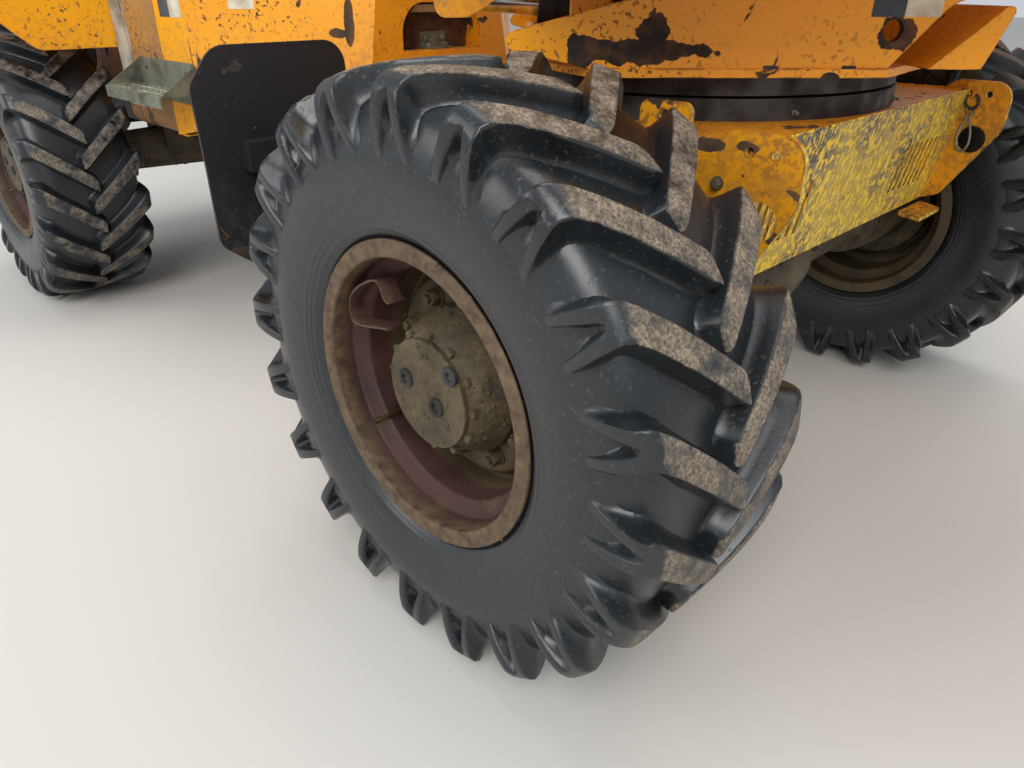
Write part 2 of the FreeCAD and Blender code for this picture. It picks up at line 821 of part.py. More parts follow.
def skip_body(wall):
    """Closed form of the skip's outside, moved in by wall, or out where wall is below zero."""
    lip = skip_rim - skip_lip_drop
    rise = skip_rim - skip_floor
    slope = math.atan2(lip - skip_floor, skip_spout - skip_chute_start)
    lift = wall / math.cos(slope)
    lean = (skip_rear_floor - skip_rear_top) / rise
    shift_in = wall * math.hypot(1, lean)
    over = skip_band if wall != 0 else 0.0
    top = skip_rim + over
    inner_start = skip_chute_start - (lift - wall) / math.tan(slope)
    points = [
        (skip_rear_floor - lean * wall + shift_in, skip_floor + wall),
        (inner_start, skip_floor + wall),
        (skip_spout + over, lip + lift + over * math.tan(slope)),
    ]
    if wall != 0:
        points.append((skip_spout + over, top))
    else:
        points.append((skip_spout - 2 * skip_lip_drop, top))
    points.append((skip_rear_top - lean * over + shift_in, top))
    depth = side_prism(sharp(points), -skip_half - 100, skip_half + 100)

    def plan(z, narrower):
        half = [(skip_rear_top - skip_band, skip_rear_half - 50), (-220, skip_half),
                (skip_spout - 340, skip_half), (skip_spout + 2 * skip_band, skip_spout_half - 40)]
        loop = [(x, y - narrower - wall) for x, y in half]
        loop += [(x, -y) for x, y in reversed(loop)]
        return Part.makePolygon([vec(x, y, z) for x, y in loop + loop[:1]])

    flare = Part.makeLoft([plan(skip_floor, skip_floor_inset),
                           plan(top, -skip_floor_inset * over / rise)], True, True)
    return depth.common(flare)


def chute_height(x):
    """Height of the chute's underside at x."""
    run = (x - skip_chute_start) / (skip_spout - skip_chute_start)
    return skip_floor + run * (skip_rim - skip_lip_drop - skip_floor)


def skip_stiffeners():
    """Bead round the rim, ribs down the sides and two bearers under the floor."""
    bead_end = skip_spout - 2 * skip_lip_drop
    rim = skip_body(-skip_bead).common(block(skip_rear_top - 3 * skip_bead, bead_end, -2 * skip_half,
                                             2 * skip_half, skip_rim - skip_bead_height, skip_rim))
    proud = skip_body(-skip_rib)
    parts = [rim]
    for x in skip_ribs:
        low = max(skip_floor, chute_height(x + skip_rib_width)) + skip_band
        for s in (1, -1):
            slab = block(x - skip_rib_width / 2, x + skip_rib_width / 2, min(s * 500, s * 2 * skip_half),
                         max(s * 500, s * 2 * skip_half), low, skip_rim - 1)
            parts.append(proud.common(slab))
    for s in (1, -1):
        y = s * skip_bearer_y
        parts.append(side_prism([
            (skip_rear_floor + 10, skip_floor + 2, 0),
            (skip_rear_floor + 30, skip_floor - skip_bearer_height, 15),
            (skip_chute_start - 20, skip_floor - skip_bearer_height, 15),
            (skip_chute_start, skip_floor + 2, 0),
        ], y - skip_bearer_width / 2, y + skip_bearer_width / 2))
    return parts


def skip():
    shell = skip_body(0.0).cut(skip_body(skip_wall))
    lugs = []
    for s in (1, -1):
        y0 = s * (cheek_half - 40 - run_gap - 25)
        y1 = s * (cheek_half - 40 - run_gap)
        lug = side_prism([
            (tip_x - 110, chute_height(tip_x - 110) + skip_lug_root, 0),
            (tip_x - 48, tip_z - 20, 30),
            (tip_x, tip_z - 50, 40),
            (tip_x + 48, tip_z - 20, 30),
            (tip_x + 130, chute_height(tip_x + 130) + skip_lug_root, 0),
        ], min(y0, y1), max(y0, y1))
        bore = bar(tip_pin_radius + pin_gap, vec(tip_x, y0 - s * 2, tip_z), vec(tip_x, y1 + s * 2, tip_z))
        lugs.append(lug.cut(bore))
    gap = eye_width / 2 + run_gap
    ears = []
    for s in (1, -1):
        ears.append(side_prism([
            (skip_rear_floor + 60, skip_floor + 3, 0),
            (skip_rear_floor - 60, skip_floor + 150, 0),
            (tip_ram_eye_x - 45, tip_ram_eye_z + 20, 20),
            (tip_ram_eye_x - 30, tip_ram_eye_z - 42, 25),
            (tip_ram_eye_x + 45, tip_ram_eye_z - 42, 25),
        ], min(s * gap, s * (gap + ram_lug_plate)), max(s * gap, s * (gap + ram_lug_plate))))
    inside = skip_body(skip_wall)
    return fuse([shell] + [piece.cut(inside) for piece in lugs + ears + skip_stiffeners()])


def front_cowl():
    """Front of the rear body: a faceted shell with an arched recess over the centre joint."""
    face = cowl_front
    outer = [(face, cowl_half_bottom), (cowl_rear, body_half), (cowl_rear, -body_half),
             (face, -cowl_half_bottom)]
    upper = [(face, cowl_half_top), (cowl_rear, body_half), (cowl_rear, -body_half),
             (face, -cowl_half_top)]

    def loop(points, z, inset):
        xs = [points[0][0] - inset, points[1][0] - 1 if inset else points[1][0]]
        ys = [points[0][1] - inset * 1.2, points[1][1] - inset * 1.4]
        ring = [(xs[0], ys[0]), (xs[1], ys[1]), (xs[1], -ys[1]), (xs[0], -ys[0])]
        return Part.makePolygon([vec(x, y, z) for x, y in ring + ring[:1]])

    low = body_bottom
    high = floor_top - sheet - seat_gap
    solid = Part.makeLoft([loop(outer, low, 0), loop(upper, high, 0)], True, True)
    hollow = Part.makeLoft([loop(outer, low - 1, sheet), loop(upper, high + 1, sheet)], True, True)
    under = side_prism(sharp([(face + 10, cowl_bottom), (cowl_rear - 1, body_bottom + 40),
                              (cowl_rear - 1, body_bottom - 10), (face + 10, body_bottom - 10)]),
                       -body_half - 10, body_half + 10)
    shell = solid.cut(hollow).cut(under)
    arch = [(-arch_half, arch_bottom, 0), (-arch_half, arch_top, arch_half * 0.55),
            (arch_half, arch_top, arch_half * 0.55), (arch_half, arch_bottom, 0)]
    opening = front_prism(arch, face - arch_depth, face + 10)
    grown = [(-arch_half - sheet, arch_bottom - sheet, 0), (-arch_half - sheet, arch_top + sheet,
                                                            arch_half * 0.6),
             (arch_half + sheet, arch_top + sheet, arch_half * 0.6), (arch_half + sheet, arch_bottom
                                                                      - sheet, 0)]
    cup = front_prism(grown, face - arch_depth - sheet, face - 1).cut(opening)
    return fuse([shell.cut(opening), cup])


def side_panel(side):
    outer = side * body_half
    web = side * (body_half - sheet)
    skin = side_prism([(cowl_rear - seat_gap, body_bottom + 40, 20), (cowl_rear - seat_gap, floor_top
                                                                     - sheet - seat_gap, 0),
                       (tank_front + seat_gap, floor_top - sheet - seat_gap, 0),
                       (tank_front + seat_gap, body_bottom, 0)], min(outer, web), max(outer, web))
    foot = block(tank_front + seat_gap, tank_front + 60, min(web, side * (rail_half + seat_gap)),
                 max(web, side * (rail_half + seat_gap)), body_bottom, body_bottom + sheet)
    return fuse([skin, foot])


def side_tank(side):
    """Tank between the step and the rear wheel, with its filler on top."""
    inner = side * (rail_half + seat_gap)
    outer = side * body_half
    shape = front_prism([(inner, body_bottom, 25), (outer, body_bottom, 35),
                         (outer, floor_top - sheet - seat_gap, 20),
                         (inner, floor_top - sheet - seat_gap, 20)], tank_rear, tank_front)
    foot = block(tank_rear + 60, tank_rear + 180, min(inner, inner + side * 60),
                 max(inner, inner + side * 60), rail_top - 8 + seat_gap, body_bottom + 120)
    relief = block(tank_rear - 1, tank_front + 1, min(side * (rear_side_half + 1), inner - side * 2),
                   max(side * (rear_side_half + 1), inner - side * 2), body_bottom - 1, rail_top - 7)
    return fuse([shape.cut(relief), foot.common(shape)])


def cab_floor():
    """Tread floor with turned-down edges."""
    outline = [
        (cowl_front - 190, cowl_half_top + 105, 0),
        (cowl_rear, body_half, 0),
        (tank_rear, body_half, 0),
        (tank_rear, rear_side_half - 10, 0),
        (cover_front + seat_gap + 40, rear_side_half - 10, 0),
    ]
    loop = outline + [(x, -y, r) for x, y, r in reversed(outline)]
    floor = plan_prism(loop, floor_top - sheet, floor_top)
    nose_points = [(cowl_front, cowl_half_top, 0), (cowl_front - 190, cowl_half_top + 105, 0),
                   (cowl_front - 190, -cowl_half_top - 105, 0), (cowl_front, -cowl_half_top, 0)]
    nose = plan_prism(nose_points, floor_top - sheet, floor_top)
    slots = [block(rops_x - rops_tube / 2 - 1, rops_x + rops_tube / 2 + 1, s * rops_half - rops_tube / 2
                   - 1, s * rops_half + rops_tube / 2 + 1, floor_top - 20, floor_top + 5)
             for s in (1, -1)]
    return fuse([floor, nose]).cut(slots)


def step(side):
    """Grip-tread step with rows of round holes, a back plate and end gussets, on the body's side."""
    wall = side * (body_half + seat_gap)
    face = wall + side * step_plate
    out = side * (body_half + step_reach)
    low = step_top - step_plate
    back = side_sheet([(step_rear, low - 35, 0), (step_rear, step_top + step_back_height, 25),
                       (step_front, step_top + step_back_height, 25), (step_front, low - 35, 0)],
                      wall, face)
    tread = block(step_rear, step_front, min(wall, out), max(wall, out), low, step_top)
    lip = block(step_rear, step_front, min(out, out - side * step_plate),
                max(out, out - side * step_plate), step_top - 35, step_top)
    ends = []
    for x in (step_rear, step_front - step_plate):
        ends.append(front_prism(sharp([(wall, low + 2), (out, low + 2),
                                       (wall, step_top + step_back_height - 5)]), x, x + step_plate))
    pitch = (step_front - step_rear) / (step_holes + 1)
    holes = []
    for i in range(step_holes):
        x = step_rear + (i + 1) * pitch
        for share in (0.33, 0.7):
            y = wall + share * (out - wall)
            holes.append(bar(step_hole_radius, vec(x, y, low - 1), vec(x, y, step_top + 1)))
    for x in (step_rear + 70, step_front - 70):
        z = step_top + 0.6 * step_back_height
        holes.append(bar(small_hole_radius, vec(x, wall - side, z), vec(x, face + side, z)))
    return fuse([back, tread, lip] + ends).cut(holes)


def rear_fender(side):
    """Side wall of the engine bay with the guard over the rear wheel."""
    wall = side * rear_side_half
    web = side * (rear_side_half + sheet)
    out = side * fender_half
    top = floor_top
    x1 = tank_rear - seat_gap
    side_wall = side_prism([(x1, fender_bottom, 0), (x1, top, 0), (rear_end, top, 0),
                            (rear_end, fender_bottom + 70, 0), (rear_end + 60, fender_bottom, 30)],
                           min(wall, web), max(wall, web))
    guard = plan_prism([(x1, wall, 0), (x1, out, 40), (fender_rear, out, 40), (fender_rear, wall, 0)],
                       top - sheet, top)
    drop_low = fender_bottom + 180
    drop = front_prism([(wall, drop_low, 0), (out - side * 120, drop_low, 60), (out, top - 70, 40),
                        (out, top - 1, 0), (wall, top - 1, 0)], x1 - sheet, x1)
    return fuse([side_wall, guard, drop])


def rear_panel():
    """Radiator grille panel across the back of the engine bay, with the cover's fixed knuckles."""
    low = counterweight_top + seat_gap
    half = rear_side_half - seat_gap
    skin = front_prism([(-half, low, 10), (-half, floor_top, 10), (half, floor_top, 10), (half, low, 10)],
                       rear_end, rear_end + grille_thickness)
    slots = []
    for i in range(grille_slots):
        y = (i - (grille_slots - 1) / 2) * grille_pitch
        slots.append(block(rear_end - 1, rear_end + grille_thickness + 1, y - grille_slot_width / 2,
                           y + grille_slot_width / 2, low + 60, floor_top - 60))
    return fuse([skin.cut(slots)] + hinge_knuckles(False))


def hinge_knuckles(moving):
    """Knuckles of the cover's two hinges: the outer two stay on the panel and hold the pin."""
    leaf = cover_hinge_radius / 3
    parts = []
    for s in (1, -1):
        for place in (0,) if moving else (-1, 1):
            middle = s * cover_hinge_y + place * (knuckle_length + 1)
            y0 = middle - knuckle_length / 2
            y1 = middle + knuckle_length / 2
            barrel = bar(cover_hinge_radius, vec(cover_hinge_x, y0, cover_hinge_z),
                         vec(cover_hinge_x, y1, cover_hinge_z))
            if moving:
                arm = block(cover_hinge_x, rear_end + sheet, y0, y1, cover_hinge_z - leaf,
                            cover_hinge_z + leaf)
                parts.append(barrel.fuse(arm))
            else:
                arm = block(cover_hinge_x - leaf, rear_end + 1, y0, y1, floor_top - 4 * leaf,
                            floor_top - 2 * leaf)
                post = block(cover_hinge_x - leaf, cover_hinge_x + leaf, y0, y1, floor_top - 4 * leaf,
                             cover_hinge_z)
                parts.append(barrel.fuse([arm, post]))
        if not moving:
            reach = 1.5 * knuckle_length + 1
            parts.append(bar(cover_hinge_pin, vec(cover_hinge_x, s * cover_hinge_y - reach, cover_hinge_z),
                             vec(cover_hinge_x, s * cover_hinge_y + reach, cover_hinge_z)))
    return parts


def counterweight():
    """Cast weight across the tail, with the towing jaw."""
    back = rear_end - seat_gap
    face = back - counterweight_depth
    body = plan_prism([(back, -counterweight_half, 20), (back, counterweight_half, 20),
                       (face, counterweight_half - 80, 50), (face, 80 - counterweight_half, 50)],
                      counterweight_bottom, counterweight_top)
    reach = face - jaw_reach
    bore = bar(jaw_hole_radius, vec(reach + 48, 0, counterweight_bottom),
               vec(reach + 48, 0, counterweight_top))
    jaws = []
    for height in (jaw_low, jaw_high):
        z = counterweight_bottom + height
        arm = plan_prism([(face + 5, -70, 0), (reach, -50, 40), (reach, 50, 40), (face + 5, 70, 0)],
                         z, z + jaw_plate)
        jaws.append(arm.cut(bore))
    return fuse([body] + jaws)


def engine_block():
    """Engine and gearbox as one plain mass on the rear frame's cross members."""
    return block(engine_rear, engine_front, -engine_half, engine_half,
                 rail_bottom + bearer_height + seat_gap, engine_top)


def engine_cover():
    """Pressed cover over the engine, open underneath, with slotted sides and hinges at its back."""
    low = floor_top + seat_gap
    half = rear_side_half

    def loop(z, inset):
        x0 = rear_end + 2 + inset
        x1 = cover_front - inset
        y = half - inset
        points = [(x0, -y, cover_corner), (x1, -y, cover_corner), (x1, y, cover_corner),
                  (x0, y, cover_corner)]
        return corner_wire(points, lambda u, v: vec(u, v, z))

    outer = Part.makeLoft([loop(low, 0), loop(cover_top, cover_lean)], True, True)
    inner = Part.makeLoft([loop(low - 1, sheet), loop(cover_top - sheet, cover_lean + sheet * 0.4)],
                          True, True)
    middle_x = (rear_end + cover_front) / 2
    middle_z = (low + cover_top) / 2
    slots = []
    for i in range(cover_slots):
        x = middle_x + (i - (cover_slots - 1) / 2) * cover_slot_pitch
        slots.append(side_prism([
            (x - cover_slot_width / 2, middle_z - cover_slot_height / 2, cover_slot_width / 2.2),
            (x - cover_slot_width / 2, middle_z + cover_slot_height / 2, cover_slot_width / 2.2),
            (x + cover_slot_width / 2, middle_z + cover_slot_height / 2, cover_slot_width / 2.2),
            (x + cover_slot_width / 2, middle_z - cover_slot_height / 2, cover_slot_width / 2.2),
        ], -half, half))
    bore = bar(cover_hinge_pin + pin_gap, vec(cover_hinge_x, -half, cover_hinge_z),
               vec(cover_hinge_x, half, cover_hinge_z))
    return fuse([outer.cut(inner).cut(slots)] + [piece.cut(bore) for piece in hinge_knuckles(True)])


def seat_base():
    low = floor_top + seat_gap
    back = seat_front - seat_base_depth
    return side_prism([(seat_front, low, 0), (seat_front, seat_top, 40), (back, seat_top, 40),
                       (back, low, 0)], -seat_width / 2 - 30, seat_width / 2 + 30)


def seat_cushion():
    half = seat_width / 2
    low = seat_top + seat_gap
    high = seat_top + cushion_height
    return side_prism([(seat_front + 20, low, 20), (seat_front + 20, high, 45),
                       (seat_front - seat_depth, high - 15, 30), (seat_front - seat_depth, low, 15)],
                      -half, half)


def seat_back():
    half = seat_width / 2
    low = seat_top + seat_gap
    high = seat_top + backrest_height
    back_x = seat_front - seat_depth - seat_gap
    return side_prism([(back_x, low, 15), (back_x, seat_top + cushion_height + 15, 30),
                       (back_x - backrest_lean, high, 24),
                       (back_x - backrest_depth - 15, high - 10, 20),
                       (back_x - backrest_depth, low, 15)], -half, half)


def console_place(share_back, share_up):
    """Place on the console's side outline, as shares of its depth and height."""
    return console_front - share_back * console_depth, floor_top + share_up * console_height


def console():
    """Steering console on the front of the floor."""
    low = floor_top + seat_gap
    outline = [(console_front, low, 0)]
    for back, up, radius in ((0.075, 0.888, 30), (0.31, 1.0, 30), (1.0, 0.925, 25), (0.787, 0.738, 60)):
        outline.append((*console_place(back, up), radius))
    outline.append((console_front - 0.734 * console_depth, low, 0))
    body = side_prism(outline, -console_half, console_half)
    return fuse([body, bar(column_radius, column_foot, column_head)])


def steering_wheel():
    along = vec(-column_lean, 0, column_rise).normalize()
    foot = column_head + along * seat_gap
    rim_centre = foot + along * 40
    rim_ring = Part.makeTorus(steering_rim_radius, steering_rim_tube, rim_centre, along)
    boss = bar(36, foot, foot + along * 48)
    across = vec(0, 1, 0)
    spokes = []
    for angle in (90, 210, 330):
        spin = FreeCAD.Rotation(along, angle)
        spokes.append(bar(10, rim_centre, rim_centre + spin.multVec(across) * steering_rim_radius))
    return fuse([rim_ring, boss] + spokes)


def levers():
    """Two control levers on the console's right and the pedals on the floor."""
    front, rear = console_place(0.31, 1.0), console_place(1.0, 0.925)
    fall = vec(rear[0] - front[0], 0, rear[1] - front[1])
    upright = vec(fall.z, 0, -fall.x).normalize()
    shapes = []
    for y in (-170, -215):
        foot = vec(front[0], y, front[1]) + fall * 0.5 + upright * seat_gap
        shapes.append(fuse([bar(lever_radius, foot, foot + upright * lever_length),
                            Part.makeSphere(lever_knob, foot + upright * lever_length)]))
    for y in (-170, 120):
        plate_x = pedal_x + pedal_length / 2
        top = floor_top + pedal_height
        shapes.append(fuse([block(plate_x - pedal_length, plate_x, y, y + pedal_width, top, top + 8),
                            block(plate_x - 15, plate_x, y + 25, y + 45, floor_top + seat_gap,
                                  top + 2)]))
    return shapes


def rops_post(side):
    """Fixed post of the roll-over frame, from the chassis to its hinge fork."""
    y = side * rops_half
    half = rops_tube / 2
    foot_z = rail_top - 8 + seat_gap
    tube = plan_prism([(rops_x - half, y - half, 10), (rops_x + half, y - half, 10),
                       (rops_x + half, y + half, 10), (rops_x - half, y + half, 10)],
                      foot_z, rops_hinge_z - 120)
    fork = []
    for s in (1, -1):
        y0 = y + s * (half + 0.5)
        y1 = y + s * (half + 12)
        fork.append(side_prism([(rops_x - half, rops_hinge_z - 200, 10),
                                (rops_x + half, rops_hinge_z - 200, 10),
                                (rops_x + half, rops_hinge_z + 45, 30),
                                (rops_x - half, rops_hinge_z + 45, 30)], min(y0, y1), max(y0, y1)))
    link = block(rops_x - half, rops_x + half, y - half - 2, y + half + 2, rops_hinge_z - 190,
                 rops_hinge_z - 130)
    pin = bar(rops_pin_radius, vec(rops_x, y - half - 24, rops_hinge_z),
              vec(rops_x, y + half + 24, rops_hinge_z))
    return fuse([tube, link, pin] + fork)


def rops_hoop():
    """Folding hoop: two tubes, rounded corners and a cross bar with a spigot for a beacon."""
    half = rops_tube / 2
    bottom = rops_hinge_z - 60

    def section(inset, floor):
        return [(-rops_half - half + inset, floor, 0), (-rops_half - half + inset, rops_top - inset,
                                                       130 - inset),
                (rops_half + half - inset, rops_top - inset, 130 - inset),
                (rops_half + half - inset, floor, 0)]

    outer = front_prism(section(0, bottom), rops_x - half, rops_x + half)
    inner = front_prism(section(rops_tube, bottom - 5), rops_x - half - 1, rops_x + half + 1)
    hoop = outer.cut(inner)
    bores = [bar(rops_pin_radius + pin_gap, vec(rops_x, s * rops_half - 60, rops_hinge_z),
                 vec(rops_x, s * rops_half + 60, rops_hinge_z)) for s in (1, -1)]
    spigot = bar(12, vec(rops_x, 400, rops_top - 2), vec(rops_x, 400, rops_top + 100))
    return fuse([hoop.cut(bores), spigot])


def exhaust():
    """Upright silencer and pipe standing on the right-hand rear guard."""
    y = -(rear_side_half + sheet + exhaust_clear)
    low = floor_top + seat_gap
    axis = vec(0, 0, 1)
    pipe = exhaust_pipe
    wide = exhaust_radius
    profile = [(0, 0, 0), (0, pipe + 25, 0), (10, pipe + 25, 0), (30, pipe, 0), (80, pipe, 0),
               (110, wide, 15), (500, wide, 15), (530, pipe, 0), (exhaust_height, pipe, 0),
               (exhaust_height, 0, 0)]
    return turned(profile, vec(exhaust_x, y, low), axis, vec(1, 0, 0))


def tail_lamp(side):
    x = rear_end - seat_gap
    left = side * lamp_y - lamp_width / 2
    right = side * lamp_y + lamp_width / 2
    low = lamp_z - lamp_height / 2
    high = lamp_z + lamp_height / 2
    return front_prism([(left, low, 12), (right, low, 12), (right, high, 12), (left, high, 12)],
                       x - lamp_depth, x)


def build():
    tread = tyre()
    for name, x, side in (("fl", 0.0, 1), ("fr", 0.0, -1), ("rl", -wheel_base, 1), ("rr", -wheel_base, -1)):
        nodes["tyre_" + name] = tread.copy()
        nodes["tyre_" + name].translate(vec(x, side * track / 2, tyre_radius))
        nodes["rim_" + name] = rim(x, side)
        nodes["hub_" + name] = hub(x, side)
    nodes["front_frame"] = front_frame()
    nodes["front_axle"] = axle(0.0, -260, chassis_bottom)
    nodes["slew_ring_lower"] = slew_ring_lower()
    nodes["front_mudguards"] = [front_mudguard(1), front_mudguard(-1)]
    nodes["centre_knuckle"] = centre_knuckle()
    nodes["slew_ring_upper"] = slew_ring_upper()
    nodes["swivel_frame"] = slewed(swivel_frame())
    nodes["skip"] = slewed(skip())
    barrel, rod = ram(vec(tip_ram_base_x, 0, tip_ram_base_z), vec(tip_ram_eye_x, 0, tip_ram_eye_z),
                      tip_barrel_length, tip_rod_start, (tip_barrel_radius, tip_rod_radius),
                      vec(0, 1, 0))
    nodes["tip_ram_barrel"] = slewed(barrel)
    nodes["tip_ram_rod"] = slewed(rod)
    barrel, rod = ram(vec(pivot_x + steer_ram_base_x, steer_ram_base_y, pivot_z),
                      vec(pivot_x + steer_ram_eye_x, steer_ram_eye_y, pivot_z), steer_barrel_length,
                      steer_rod_start, (steer_barrel_radius, steer_rod_radius), vec(0, 0, 1))
    nodes["steering_ram_barrel"] = barrel
    nodes["steering_ram_rod"] = rod
    nodes["rear_frame"] = rear_frame()
    nodes["rear_axle"] = axle(-wheel_base, 260, rail_bottom)
    nodes["engine_block"] = engine_block()
    nodes["front_cowl"] = front_cowl()
    nodes["side_panels"] = [side_panel(1), side_panel(-1)]
    nodes["side_tanks"] = [side_tank(1), side_tank(-1)]
    nodes["cab_floor"] = cab_floor()
    nodes["steps"] = [step(1), step(-1)]
    nodes["rear_fenders"] = [rear_fender(1), rear_fender(-1)]
    nodes["rear_panel"] = rear_panel()
    nodes["counterweight"] = counterweight()
    nodes["engine_cover"] = engine_cover()
    nodes["seat_base"] = seat_base()
    nodes["seat_cushion"] = seat_cushion()
    nodes["seat_back"] = seat_back()
    nodes["console"] = console()
    nodes["steering_wheel"] = steering_wheel()
    nodes["levers"] = levers()
    nodes["rops_posts"] = [rops_post(1), rops_post(-1)]
    nodes["rops_hoop"] = rops_hoop()
    nodes["exhaust"] = exhaust()
    nodes["tail_lamps"] = [tail_lamp(1), tail_lamp(-1)]


def as_one(shapes):
    return Part.makeCompound(shapes) if isinstance(shapes, list) else shapes


def origin_shift(shapes):
    """Vector that brings the whole machine's box over the origin, standing on the ground."""
    whole = FreeCAD.BoundBox()
    for shape in shapes:
        whole.add(shape.optimalBoundingBox(False, False))
    return vec(-whole.Center.x, -whole.Center.y, -whole.ZMin)


build()
pieces = {name: as_one(shapes) for name, shapes in nodes.items()}
shift = origin_shift(pieces.values())
os.makedirs("parts", exist_ok=True)
for name, piece in pieces.items():
    piece.translate(shift)
    piece.exportStep("parts/" + name + ".step")
print("pieces", len(pieces), "shift", tuple(round(c, 4) for c in shift))
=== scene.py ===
"""Looks of the articulated site dumper: worn yellow enamel, wet tyres with sand, caked hubs.

Metres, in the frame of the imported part. A point of the machine is given from the spot on the ground
under the middle of the front axle: X forward, Y to the machine's left, Z up.
"""
import json
import math
import bmesh
import bpy
from mathutils import Matrix, Vector, noise


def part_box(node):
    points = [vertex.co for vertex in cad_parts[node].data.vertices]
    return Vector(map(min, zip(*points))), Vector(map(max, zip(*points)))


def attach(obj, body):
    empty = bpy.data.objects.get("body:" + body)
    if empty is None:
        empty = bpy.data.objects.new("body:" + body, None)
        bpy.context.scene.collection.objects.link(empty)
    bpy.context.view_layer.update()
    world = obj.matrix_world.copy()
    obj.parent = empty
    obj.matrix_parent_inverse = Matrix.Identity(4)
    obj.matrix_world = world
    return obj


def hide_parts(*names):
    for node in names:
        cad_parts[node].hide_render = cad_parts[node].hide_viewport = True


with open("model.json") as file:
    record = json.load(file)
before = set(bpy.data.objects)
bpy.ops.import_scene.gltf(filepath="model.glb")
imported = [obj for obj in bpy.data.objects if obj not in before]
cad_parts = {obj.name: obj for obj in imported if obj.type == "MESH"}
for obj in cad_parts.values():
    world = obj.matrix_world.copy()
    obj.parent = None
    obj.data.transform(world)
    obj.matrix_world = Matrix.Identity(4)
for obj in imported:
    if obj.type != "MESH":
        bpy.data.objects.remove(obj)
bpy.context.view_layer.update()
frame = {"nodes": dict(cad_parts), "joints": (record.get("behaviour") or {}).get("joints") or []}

mm = 0.001
left_low, left_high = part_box("tyre_fl")
right_low, right_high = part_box("tyre_fr")
rear_low, rear_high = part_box("tyre_rl")
origin = (left_low + left_high + right_low + right_high) / 4
tyre_radius = (left_high.z - left_low.z) / 2
half_track = (left_high.y + left_low.y) / 2 - origin.y
wheel_base = origin.x - (rear_low.x + rear_high.x) / 2
origin.z = left_low.z
joint_at = {joint["name"]: Vector(joint.get("pos_m") or (0, 0, 0)) for joint in frame["joints"]}
slew_axis = joint_at["slew"]
slew_turn = math.radians(45)


def at(x, y, z):
    """A point of the machine in the part's frame."""
    return origin + Vector((x, y, z))


def slewed(x, y, z):
    """A point of the slewing part, drawn straight ahead about the slew axis, in the part's frame."""
    turned = Matrix.Rotation(slew_turn, 3, "Z") @ Vector((x, y, z))
    return Vector((slew_axis.x + turned.x, slew_axis.y + turned.y, origin.z + turned.z))


def colour(code):
    """Linear colour of an sRGB hex value."""
    parts = [int(code[i:i + 2], 16) / 255 for i in (1, 3, 5)]
    return tuple(c / 12.92 if c <= 0.04045 else ((c + 0.055) / 1.055) ** 2.4 for c in parts) + (1.0,)


# Settings that many nodes share. A colour mix takes its share at socket 0 and its two colours at 6 and 7,
# and gives its result at output 2.
mixed = {"data_type": "RGBA"}
product = {"operation": "MULTIPLY"}
larger = {"operation": "MAXIMUM"}


def put(tree, kind, settings=None, inputs=None):
    """Adds a node with its settings, and links or sets its inputs."""
    node = tree.nodes.new(kind)
    for name, value in (settings or {}).items():
        setattr(node, name, value)
    for key, value in (inputs or {}).items():
        socket = node.inputs[key]
        if isinstance(value, bpy.types.NodeSocket):
            tree.links.new(value, socket)
        else:
            socket.default_value = value
    return node


def empty_material(name):
    """A material with only its shader and output, and the object's own coordinates."""
    material = bpy.data.materials.new(name)
    material.use_nodes = True
    tree = material.node_tree
    tree.nodes.clear()
    shader = put(tree, "ShaderNodeBsdfPrincipled")
    put(tree, "ShaderNodeOutputMaterial", inputs={"Surface": shader.outputs[0]})
    place = put(tree, "ShaderNodeTexCoord").outputs["Object"]
    return material, tree, shader, place


def patches(tree, place, size, share, soft=0.03, detail=4.0, distortion=0.0):
    """Mask of blotches about size metres across that cover a share of the surface."""
    cloud = put(tree, "ShaderNodeTexNoise", inputs={
        "Vector": place, "Scale": 0.55 / size, "Detail": detail, "Roughness": 0.55,
        "Distortion": distortion})
    edge = 0.5 + 0.34 * (0.5 - share)
    mask = put(tree, "ShaderNodeMapRange", inputs={
        "Value": cloud.outputs["Fac"], "From Min": edge - soft, "From Max": edge + soft})
    return mask.outputs["Result"]


def sharp_edges(tree, radius):
    """Mask of the outside corners within about radius metres, from the rounded normal."""
    rounded = put(tree, "ShaderNodeBevel", {"samples": 4}, {"Radius": radius})
    facing = put(tree, "ShaderNodeNewGeometry")
    agree = put(tree, "ShaderNodeVectorMath", {"operation": "DOT_PRODUCT"}, {
        0: rounded.outputs["Normal"], 1: facing.outputs["Normal"]})
    mask = put(tree, "ShaderNodeMapRange", inputs={
        "Value": agree.outputs["Value"], "From Min": 0.995, "From Max": 0.90})
    return mask.outputs["Result"]


def low_down(tree, place, bottom, top):
    """Mask that fades from 1 at the height bottom to 0 at the height top."""
    axes = put(tree, "ShaderNodeSeparateXYZ", inputs={"Vector": place})
    fade = put(tree, "ShaderNodeMapRange", inputs={
        "Value": axes.outputs["Z"], "From Min": top, "From Max": bottom})
    return fade.outputs["Result"]


